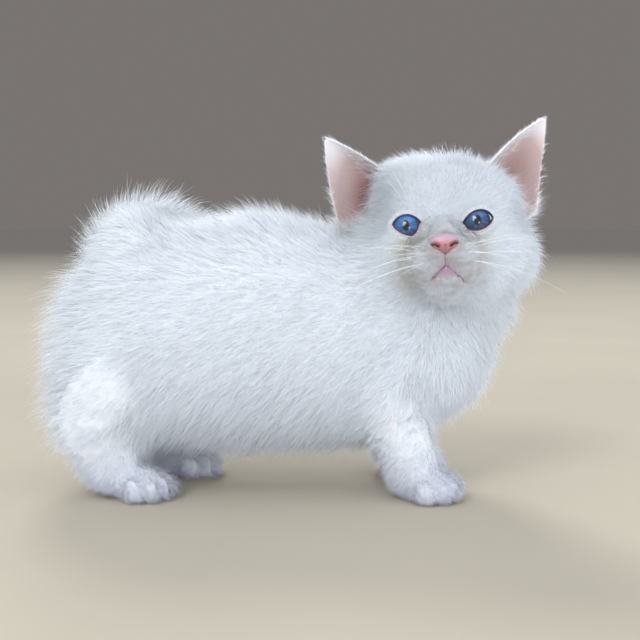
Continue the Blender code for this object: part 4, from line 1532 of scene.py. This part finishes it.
def lids(side, steps=180):
    """The lid's profile carried round the opening, each point offset along the opening's own normal."""
    edge = almond(side, steps)
    step = unit(np.roll(edge, -1, 0) - np.roll(edge, 1, 0))
    normal = np.stack([step[:, 1], -step[:, 0]], -1)
    middle = edge.mean(0)
    normal *= np.sign((normal * (edge - middle)).sum(-1, keepdims=True))
    for _ in range(10):
        normal = unit(np.roll(normal, 1, 0) + normal * 2 + np.roll(normal, -1, 0))
    out, height = np.array(LID_PROFILE, float).T
    arc = edge[:, None] + normal[:, None] * out[None, :, None]
    points = from_arc(side, arc, EYE_RADIUS + np.broadcast_to(height, arc.shape[:2]))
    count, around = points.shape[:2][::-1]
    i, k = np.meshgrid(np.arange(around), np.arange(count), indexing="ij")
    i2, k2 = (i + 1) % around, (k + 1) % count
    index = [a * count + b for a, b in ((i, k), (i2, k), (i2, k2), (i, k2))]
    quads = np.stack(index, -1).reshape(-1, 4)
    triangles = np.vstack([quads[:, [0, 1, 2]], quads[:, [0, 2, 3]]])
    points = points.reshape(-1, 3)
    upper = smoothstep(normal[:, 1], -0.3, 0.5)[:, None]
    canthus = np.exp(-(np.linalg.norm(edge - EYES[side]["inner"], axis=1) / 1.6) ** 2)[:, None]
    least, above, corner = LID_LINE
    breadth = least + above * upper + corner * canthus
    line = 1 - smoothstep(out[None], breadth - 0.12, breadth + 0.3)
    line = np.where(np.arange(len(out))[None] > LID_TOP, 0, line)
    away = np.broadcast_to(np.maximum(out, 0)[None] / 5, line.shape)
    return points, outward(points, triangles), line.ravel(), away.ravel()


def front_of(x, z):
    """The skin's front at places of the face: the mean y of nearby points, weighted by e^(-(gap / 0.8)^2)."""
    skin = Skin.made
    local = to_head(skin["points"][: skin["body"]])
    facing = skin["normals"][: skin["body"]] @ HEAD_TURN
    near = (local[:, 1] < -22) & (facing[:, 1] < -0.1) & (np.abs(local[:, 0]) < 16) & (local[:, 2] < 2)
    local = local[near]
    gap = (local[:, 0] - x[:, None]) ** 2 + (local[:, 2] - z[:, None]) ** 2
    weight = np.exp(-gap / 0.8**2) + 1e-12
    return (weight * local[:, 1]).sum(1) / weight.sum(1)


NOSTRILS = {
    "right": ((-1.9, -15.3), (-2.7, -14.7), (-3.5, -14.35), (-4.6, -14.5)),
    "left": ((2.7, -15.3), (3.5, -14.75), (4.3, -14.35), (5.5, -14.3)),
}
# Middle of the nose leather, its half breadth, and its height above and below the middle
NOSE_MIDDLE, NOSE_BREADTH, NOSE_HEIGHTS = (0.5, -13.9), 5.3, (3.4, 3.9)
NOSTRIL_DEPTH, GROOVE_DEPTH = 1.7, 0.7


def nose_pad():
    """A cushion over a rounded triangle: broad and level above, narrow below, with a nostril pressed in each
    side and a groove down the middle."""
    across, level = NOSE_MIDDLE
    way = np.linspace(0, 2 * math.pi, 96, endpoint=False)
    angle = np.linspace(0, math.pi, 61)[1:-1, None]
    wide = NOSE_BREADTH * (1 - 0.62 * smoothstep(-np.sin(way), 0.05, 0.95))
    tall = np.where(np.sin(way) > 0, *NOSE_HEIGHTS)
    x = across + np.sin(angle) ** 0.85 * wide * np.sign(np.cos(way)) * np.abs(np.cos(way)) ** 0.85
    z = level + np.sin(angle) ** 0.85 * tall * np.sin(way)
    y = -35.8 - 1.9 * np.cos(angle) + 0 * way
    y = y + 0.028 * (x - across) ** 2 + np.where(z > -13, 0.10, 0.05) * (z + 13) ** 2
    rings = np.stack([x, y, z], -1)
    points, triangles = closed_rings(rings, (across, -38.0, level), (across, -32.6, level))
    front = smoothstep(-points[:, 1], 33.5, 35.0)
    holes = np.min([line_distance(points, path) for path in NOSTRILS.values()], axis=0)
    groove = np.abs(points[:, 0] - 0.55) + np.where(points[:, 2] > -15, 9.0, 0.0)
    pressed = NOSTRIL_DEPTH * np.exp(-((holes / 0.62) ** 2)) + GROOVE_DEPTH * np.exp(-((groove / 0.5) ** 2))
    points[:, 1] += pressed * front
    # Painted shade in the nostrils and the groove down the middle
    deep = np.maximum(np.exp(-((holes / 0.6) ** 2)), 0.45 * np.exp(-((groove / 0.6) ** 2))) * front
    # A redder tone low on the nose
    red = 0.35 * smoothstep(-points[:, 2], 13.6, 16.5)
    pale = smoothstep(points[:, 2], -14.8, -11.8)
    return points, triangles, np.maximum(deep, red * front), pale


def ribbon_along(path, radius, sink):
    """A round bead along a line of the face, half sunk in the skin, tapering to each end."""
    rows = smooth_rows(path, 8)
    y = front_of(rows[:, 0], rows[:, 1]) + sink
    line = np.stack([rows[:, 0], y, rows[:, 1]], -1)
    t = np.linspace(0, 1, len(line))
    size = radius * (0.25 + 0.75 * np.sin(math.pi * np.clip(t * 0.9 + 0.08, 0, 1)) ** 0.6)
    return tube(np.column_stack([line, size]), sides=12, between=1)


# Lower lip: middle, half breadth and half height, how proud it stands, and its multiple of the nose's colour
LIP, LIP_STAND = ((0.7, -24.4), (4.3, 2.4)), 0.4
LIP_TINT = (0.62, 0.95, 1.15)
# Beads along the mouth's lines: radius and how far they are sunk
PHILTRUM_BEAD = (0.26, 0.12)
MOUTH_BEADS = {"right": (0.25, 0.1), "left": (0.32, 0.05)}


def lip_narrowing(height):
    """The lip's breadth by its height from -1 to 1: whole below, narrowing to a quarter at the top."""
    return 1 - 0.75 * smoothstep(height, -0.3, 1.0)


def lip_reach(local):
    """0 at the middle of the lower lip, 1 at its edge."""
    (x, z), (wide, tall) = LIP
    height = (local[:, 2] - z) / tall
    return np.hypot((local[:, 0] - x) / (wide * lip_narrowing(height)), height)


def lower_lip():
    """A lens over a rounded triangle of the face: its front stands LIP_STAND x (1 - r^4) off the skin."""
    (x, z), (wide, tall) = LIP
    r = np.linspace(0, 1, 12)[1:, None]
    way = np.linspace(0, 2 * math.pi, 48, endpoint=False)[None]
    height = r * np.sin(way)
    flat = np.stack([x + wide * lip_narrowing(height) * r * np.cos(way), z + tall * height], -1)
    y = front_of(flat[..., 0].ravel(), flat[..., 1].ravel()).reshape(r.shape[0], -1)
    front = np.stack([flat[..., 0], y - LIP_STAND * (1 - r**4) + 0.05, flat[..., 1]], -1)
    back = np.stack([flat[..., 0], y + 1.2, flat[..., 1]], -1)
    rings = np.concatenate([front, back[::-1]])
    points, triangles = closed_rings(rings, rings[0].mean(0), rings[-1].mean(0))
    fade = smoothstep(-points[:, 2], 24.0, 27.2)
    return points, triangles, fade


WHISKER_ROWS, WHISKERS_EACH = 3, 3
WHISKER_RADIUS, WHISKER_TIP = 0.042, 0.008


def whisker_paths(rng):
    """Long hairs from the pads and above the eyes: root, direction, length and droop of each."""
    roots, ways, lengths, droops = [], [], [], []
    for sign in (-1, 1):
        for row in range(WHISKER_ROWS):
            for k in range(WHISKERS_EACH):
                roots.append((0.5 + sign * (6.0 + 2.4 * k), -15.3 - 2.6 * row - 0.3 * k))
                rise = 0.28 - 0.22 * row + rng.normal(0, 0.05)
                ways.append((sign * 0.9, -0.35 + 0.12 * k, rise))
                lengths.append(rng.uniform(0.75, 1.0) * (19 + 7.5 * k))
                droops.append(rng.uniform(0.12, 0.3))
        for k in range(WHISKERS_EACH):
            roots.append((0.5 + sign * (8.5 + 2.2 * k), 6.5 + 0.6 * k))
            ways.append((sign * (0.25 + 0.2 * k), -0.5, 0.85))
            lengths.append(rng.uniform(12, 18))
            droops.append(-0.1)
    return np.array(roots), unit(np.array(ways)), np.array(lengths), np.array(droops)


def whiskers():
    """Thin five-sided tubes closed at both ends, along root + length x (way x s + 0.25 s^2 back - droop x
    s^2 up)."""
    roots, ways, lengths, droops = whisker_paths(np.random.default_rng(5))
    y = front_of(roots[:, 0], roots[:, 1])
    y = np.where(roots[:, 1] > 0, -23.0, y)
    base = np.stack([roots[:, 0], y + 0.8, roots[:, 1]], -1)
    s = np.linspace(0, 1, 22)
    run = ways[:, None] * s[:, None] - np.array([0, 0, 1.0]) * (droops[:, None] * s**2)[..., None]
    back = np.array([0, 1.0, 0]) * (0.25 * s**2)[:, None]
    paths = base[:, None] + (run + back) * lengths[:, None, None]
    radius = WHISKER_RADIUS * (1 - s) ** 0.8 + WHISKER_TIP
    return joined([tube(np.column_stack([path, radius]), sides=5, between=1) for path in paths])


def place_piece(name, points, triangles, material, slot, replaced=(), **layers):
    """Makes a finished piece from points in the head's frame."""
    mesh = triangle_mesh(name, from_head(points), triangles, **layers)
    mesh.materials.append(material)
    obj = link(name, mesh)
    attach(obj, "root")
    if replaced:
        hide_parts(*replaced)
    return obj


class KittenCoatSettings(bpy.types.PropertyGroup):
    """The coat's measures and its white"""

    length: FloatProperty(
        name="Coat length",
        description="Share of the coat's full length",
        default=1.0,
        min=0.3,
        max=1.2,
    )
    breadth: FloatProperty(
        name="Hair breadth",
        description="Share of a hair's full breadth",
        default=1.0,
        min=0.3,
        max=2.0,
    )
    guard: FloatProperty(
        name="Guard hairs",
        description="Share of long hairs",
        default=0.3,
        min=0.0,
        max=1.0,
    )
    pull: FloatProperty(
        name="Tufting",
        description="How far hairs draw together at their tips",
        default=0.25,
        min=0.0,
        max=1.0,
    )
    unevenness: FloatProperty(
        name="Unevenness",
        description="How much the lie wanders",
        default=1.0,
        min=0.0,
        max=3.0,
    )
    colour: FloatVectorProperty(
        name="Coat colour",
        description="White of the coat",
        subtype="COLOR",
        default=(0.925, 0.95, 0.98),
        min=0,
        max=1,
    )


class KittenFaceSettings(bpy.types.PropertyGroup):
    """Colours of the eyes and nose"""

    iris_right: FloatVectorProperty(
        name="Right iris",
        description="Blue of the right eye",
        subtype="COLOR",
        default=(0.020, 0.070, 0.18),
        min=0,
        max=1,
    )
    iris_left: FloatVectorProperty(
        name="Left iris",
        description="Blue of the left eye",
        subtype="COLOR",
        default=(0.016, 0.046, 0.11),
        min=0,
        max=1,
    )
    nose: FloatVectorProperty(
        name="Nose",
        description="Pink of the nose leather",
        subtype="COLOR",
        default=(0.39, 0.185, 0.205),
        min=0,
        max=1,
    )


class KittenStageSettings(bpy.types.PropertyGroup):
    """The floor's colour and size"""

    floor: FloatVectorProperty(
        name="Floor",
        description="Colour of the floor",
        subtype="COLOR",
        default=(0.40, 0.36, 0.295),
        min=0,
        max=1,
    )
    floor_radius: FloatProperty(
        name="Floor radius",
        description="Radius of the floor",
        default=6.0,
        min=1.0,
        unit="LENGTH",
    )


class KITTEN_OT_skin(bpy.types.Operator):
    """Makes the skin with its ears, in place of every node of flesh"""

    bl_idname = "kitten.skin"
    bl_label = "Skin"

    def execute(self, context):
        obj = link("skin", build_skin())
        obj.data.materials.append(skin_material())
        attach(obj, "root")
        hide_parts(*(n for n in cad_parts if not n.startswith(("eye_", "nose"))))
        return {"FINISHED"}


class KITTEN_OT_eyes(bpy.types.Operator):
    """Makes the eyeballs and the lids round them"""

    bl_idname = "kitten.eyes"
    bl_label = "Eyes and lids"

    def execute(self, context):
        face = context.scene.kitten_face
        lid_finish = lid_material()
        for side, shade in (("right", face.iris_right), ("left", face.iris_left)):
            points, triangles, uv = eyeball(side)
            material = eye_material("kitten_eye_" + side, tuple(shade))
            node = "eye_" + side
            place_piece("eyeball_" + side, points, triangles, material, "eye", (node,), maps={"iris_map": uv})
            points, triangles, line, away = lids(side)
            values = {"line": line, "away": away}
            place_piece("lids_" + side, points, triangles, lid_finish, "coat", values=values)
        return {"FINISHED"}


class KITTEN_OT_muzzle(bpy.types.Operator):
    """Makes the nose leather, the line of the mouth and the lower lip"""

    bl_idname = "kitten.muzzle"
    bl_label = "Nose and mouth"

    def execute(self, context):
        colour = tuple(context.scene.kitten_face.nose)
        points, triangles, deep, pale = nose_pad()
        leather = nose_material("kitten_nose", colour, NOSE_LIGHT)
        values = {"deep": deep, "pale": pale}
        place_piece("nose_leather", points, triangles, leather, "nose", ("nose",), values=values)
        lines = [ribbon_along(PHILTRUM, *PHILTRUM_BEAD)]
        lines += [ribbon_along(MOUTH_LINES[side], *bead) for side, bead in MOUTH_BEADS.items()]
        points, triangles = joined(lines)
        # The mouth's seam: the leather's pink darkened as painted shade of its crease, most low down on its
        # left side
        deep = 0.35 + 0.4 * smoothstep(-points[:, 2], 20.5, 23.5) * smoothstep(points[:, 0], -5.0, 1.0)
        values = {"deep": deep, "pale": 0 * deep}
        place_piece("mouth_line", points, triangles, leather, "nose", values=values)
        points, triangles, fade = lower_lip()
        lip_colour = tuple(c * k for c, k in zip(colour, LIP_TINT))
        finish = nose_material("kitten_lips", lip_colour, LIP_LIGHT)
        values = {"deep": 0.1 * (1 - fade), "pale": 0.6 * fade}
        place_piece("lower_lip", points, triangles, finish, "nose", values=values)
        return {"FINISHED"}


class KITTEN_OT_whiskers(bpy.types.Operator):
    """Makes the whiskers and brow hairs"""

    bl_idname = "kitten.whiskers"
    bl_label = "Whiskers"

    def execute(self, context):
        place_piece("whiskers", *whiskers(), whisker_material(), "coat")
        return {"FINISHED"}


class KITTEN_OT_coat(bpy.types.Operator):
    """Grows the coat over the skin, piece by piece"""

    bl_idname = "kitten.coat"
    bl_label = "Coat"

    def execute(self, context):
        if Skin.made is None:
            raise RuntimeError("make the skin before the coat")
        settings = context.scene.kitten_coat
        weights = coat_weights()
        for seed, (name, (kind, count, rows)) in enumerate(COAT_PIECES.items()):
            grow(name, kind, weights[name], count, rows, FIRST_SEED + seed, settings)
        return {"FINISHED"}


CAMERA_PLACE = (0.013, -0.470, 0.1134)
CAMERA_PITCH = 5.5
CAMERA_LENS, CAMERA_SENSOR = 64.91, 36.0
# Suns: name, the way the light comes from, breadth in degrees, strength, colour. The eyes mirror only two.
SUNS = (
    ("key", (-0.5, -1.0, 1.0), 26.0, 1.32, (0.985, 0.99, 1.0)),
    ("fill", (1.0, -0.9, 0.35), 30.0, 0.6, (0.90, 0.95, 1.0)),
    ("low", (0.1, -1.0, 0.03), 40.0, 1.5, (0.95, 0.975, 1.0)),
    ("rim", (-0.2, 1.0, 0.8), 20.0, 1.9, (1.0, 1.0, 1.0)),
)
MIRRORED_SUNS = ("key", "rim")
# Small lamps for the glints in the eyes: name, place, breadth, power
LAMPS = (
    ("glint_left", (-0.26, -0.52, 0.36), 0.10, 0.35),
    ("glint_right", (0.20, -0.50, 0.13), 0.10, 0.25),
)
FLOOR_RINGS, FLOOR_SIDES = 23, 96


def floor_mesh(radius):
    """A flat disc: rings of points at radius x (k / n)^2, closed at its middle."""
    reach = np.linspace(0, 1, FLOOR_RINGS + 1)[1:, None] ** 2 * radius
    angle = np.linspace(0, 2 * math.pi, FLOOR_SIDES, endpoint=False)[None]
    points = np.stack([reach * np.cos(angle), reach * np.sin(angle), 0 * reach * angle], -1).reshape(-1, 3)
    points = np.vstack([points, (0, 0, 0)])
    i = np.arange(FLOOR_SIDES)
    j = (i + 1) % FLOOR_SIDES
    base = (np.arange(FLOOR_RINGS - 1) * FLOOR_SIDES)[:, None]
    a, b, c, d = base + i, base + FLOOR_SIDES + i, base + FLOOR_SIDES + j, base + j
    halves = [np.stack(h, -1).reshape(-1, 3) for h in ((a, b, c), (a, c, d))]
    middle = np.column_stack([np.full(FLOOR_SIDES, len(points) - 1), i, j])
    return triangle_mesh("floor", points / MM, np.vstack([*halves, middle]))


# Floor far from the kitten, backdrop, and the floor as it lights the kitten from below
FLOOR_FAR = (0.112, 0.102, 0.094)
BACKDROP = (0.19, 0.175, 0.165)
FLOOR_BOUNCE = (0.77, 0.75, 0.73)
SKY, SKY_MIRRORED = (0.87, 0.925, 0.985, 1.0), 0.35


def floor_material(colour):
    """Faintly clouded near the kitten and darker far away, with a paler tone for the light it throws back."""
    made, tree, shader = new_material("floor")
    place = add_node(tree, "TexCoord").outputs["Object"]
    cloud = add_node(tree, "TexNoise", {"Vector": place, "Scale": 6.0, "Detail": 4.0}).outputs[0]
    low, high = (tuple(c * k for c in colour) for k in (0.97, 1.03))
    near = ramp(tree, cloud, ((0.3, low), (0.7, high)))
    away = add_node(tree, "VectorMath", {0: place}, operation="LENGTH").outputs["Value"]
    far = (*FLOOR_FAR, 1.0)
    seen = mix_colour(tree, map_range(tree, away, 0.35, 3.0), near, far)
    bounced = add_node(tree, "LightPath").outputs["Is Diffuse Ray"]
    tree.links.new(mix_colour(tree, bounced, seen, (*FLOOR_BOUNCE, 1.0)), shader.inputs["Base Color"])
    set_shader(shader, Roughness=0.85, Specular_IOR_Level=0.0)
    return made


def set_world():
    """A plain backdrop for the camera, a dim light for mirrorings, and an even soft light for the rest."""
    world = bpy.data.worlds.new("studio")
    world.use_nodes = True
    tree = world.node_tree
    tree.nodes.clear()
    light = add_node(tree, "Background", {"Color": SKY, "Strength": 1.0}).outputs[0]
    mirrored = add_node(tree, "Background", {"Color": SKY, "Strength": SKY_MIRRORED}).outputs[0]
    backdrop = add_node(tree, "Background", {"Color": (*BACKDROP, 1.0), "Strength": 1.0}).outputs[0]
    ray = add_node(tree, "LightPath").outputs
    unseen = add_node(tree, "MixShader", {0: ray["Is Glossy Ray"], 1: light, 2: mirrored}).outputs[0]
    whole = add_node(tree, "MixShader", {0: ray["Is Camera Ray"], 1: unseen, 2: backdrop}).outputs[0]
    tree.links.new(whole, add_node(tree, "OutputWorld").inputs["Surface"])
    bpy.context.scene.world = world


def hang_light(light, place, way):
    """Puts a light at a place, shining against the way it comes from, and returns its object."""
    lamp = bpy.data.objects.new(light.name, light)
    lamp.location = place
    lamp.rotation_euler = way.to_track_quat("Z", "Y").to_euler()
    bpy.context.scene.collection.objects.link(lamp)
    return lamp


class KITTEN_OT_stage(bpy.types.Operator):
    """Makes the floor, the lights, the backdrop and the camera"""

    bl_idname = "kitten.stage"
    bl_label = "Stage"

    def execute(self, context):
        settings = context.scene.kitten_stage
        floor = link("floor", floor_mesh(settings.floor_radius))
        floor.data.materials.append(floor_material(tuple(settings.floor)))
        set_world()
        for name, way, breadth, strength, colour in SUNS:
            light = bpy.data.lights.new(name, "SUN")
            light.angle, light.energy, light.color = math.radians(breadth), strength, colour
            lamp = hang_light(light, Vector(way), Vector(way))
            lamp.visible_glossy = name in MIRRORED_SUNS
        for name, place, breadth, power in LAMPS:
            light = bpy.data.lights.new(name, "AREA")
            light.shape, light.size, light.energy = "DISK", breadth, power
            hang_light(light, Vector(place), Vector(place) - Vector(HEAD_CENTRE) * MM)
        lens = bpy.data.cameras.new("camera")
        lens.lens, lens.sensor_width = CAMERA_LENS, CAMERA_SENSOR
        lens.clip_start = 0.01
        camera = bpy.data.objects.new("camera", lens)
        camera.location = CAMERA_PLACE
        camera.rotation_euler = (math.radians(90 - CAMERA_PITCH), 0, 0)
        context.scene.collection.objects.link(camera)
        context.scene.camera = camera
        context.scene.view_settings.view_transform = "Standard"
        return {"FINISHED"}


class KITTEN_PT_pieces(bpy.types.Panel):
    """The kitten's settings, and an operator for each group of its pieces"""

    bl_label = "Kitten"
    bl_space_type = "VIEW_3D"
    bl_region_type = "UI"
    bl_category = "Kitten"

    def draw(self, context):
        for group in SETTINGS:
            settings = getattr(context.scene, group)
            for key in settings.__annotations__:
                self.layout.prop(settings, key)
        for operator in OPERATORS:
            self.layout.operator(operator.bl_idname)


SETTINGS = {
    "kitten_coat": KittenCoatSettings,
    "kitten_face": KittenFaceSettings,
    "kitten_stage": KittenStageSettings,
}
OPERATORS = (
    KITTEN_OT_skin,
    KITTEN_OT_eyes,
    KITTEN_OT_muzzle,
    KITTEN_OT_whiskers,
    KITTEN_OT_coat,
    KITTEN_OT_stage,
)


def register():
    for made in (*SETTINGS.values(), *OPERATORS, KITTEN_PT_pieces):
        bpy.utils.register_class(made)
    for name, group in SETTINGS.items():
        setattr(bpy.types.Scene, name, PointerProperty(type=group))


def unregister():
    for name in SETTINGS:
        delattr(bpy.types.Scene, name)
    for made in (KITTEN_PT_pieces, *OPERATORS[::-1], *SETTINGS.values()):
        bpy.utils.unregister_class(made)


def main():
    register()
    for operator in OPERATORS:
        group, name = operator.bl_idname.split(".")
        getattr(getattr(bpy.ops, group), name)()


if __name__ == "__main__":
    main()
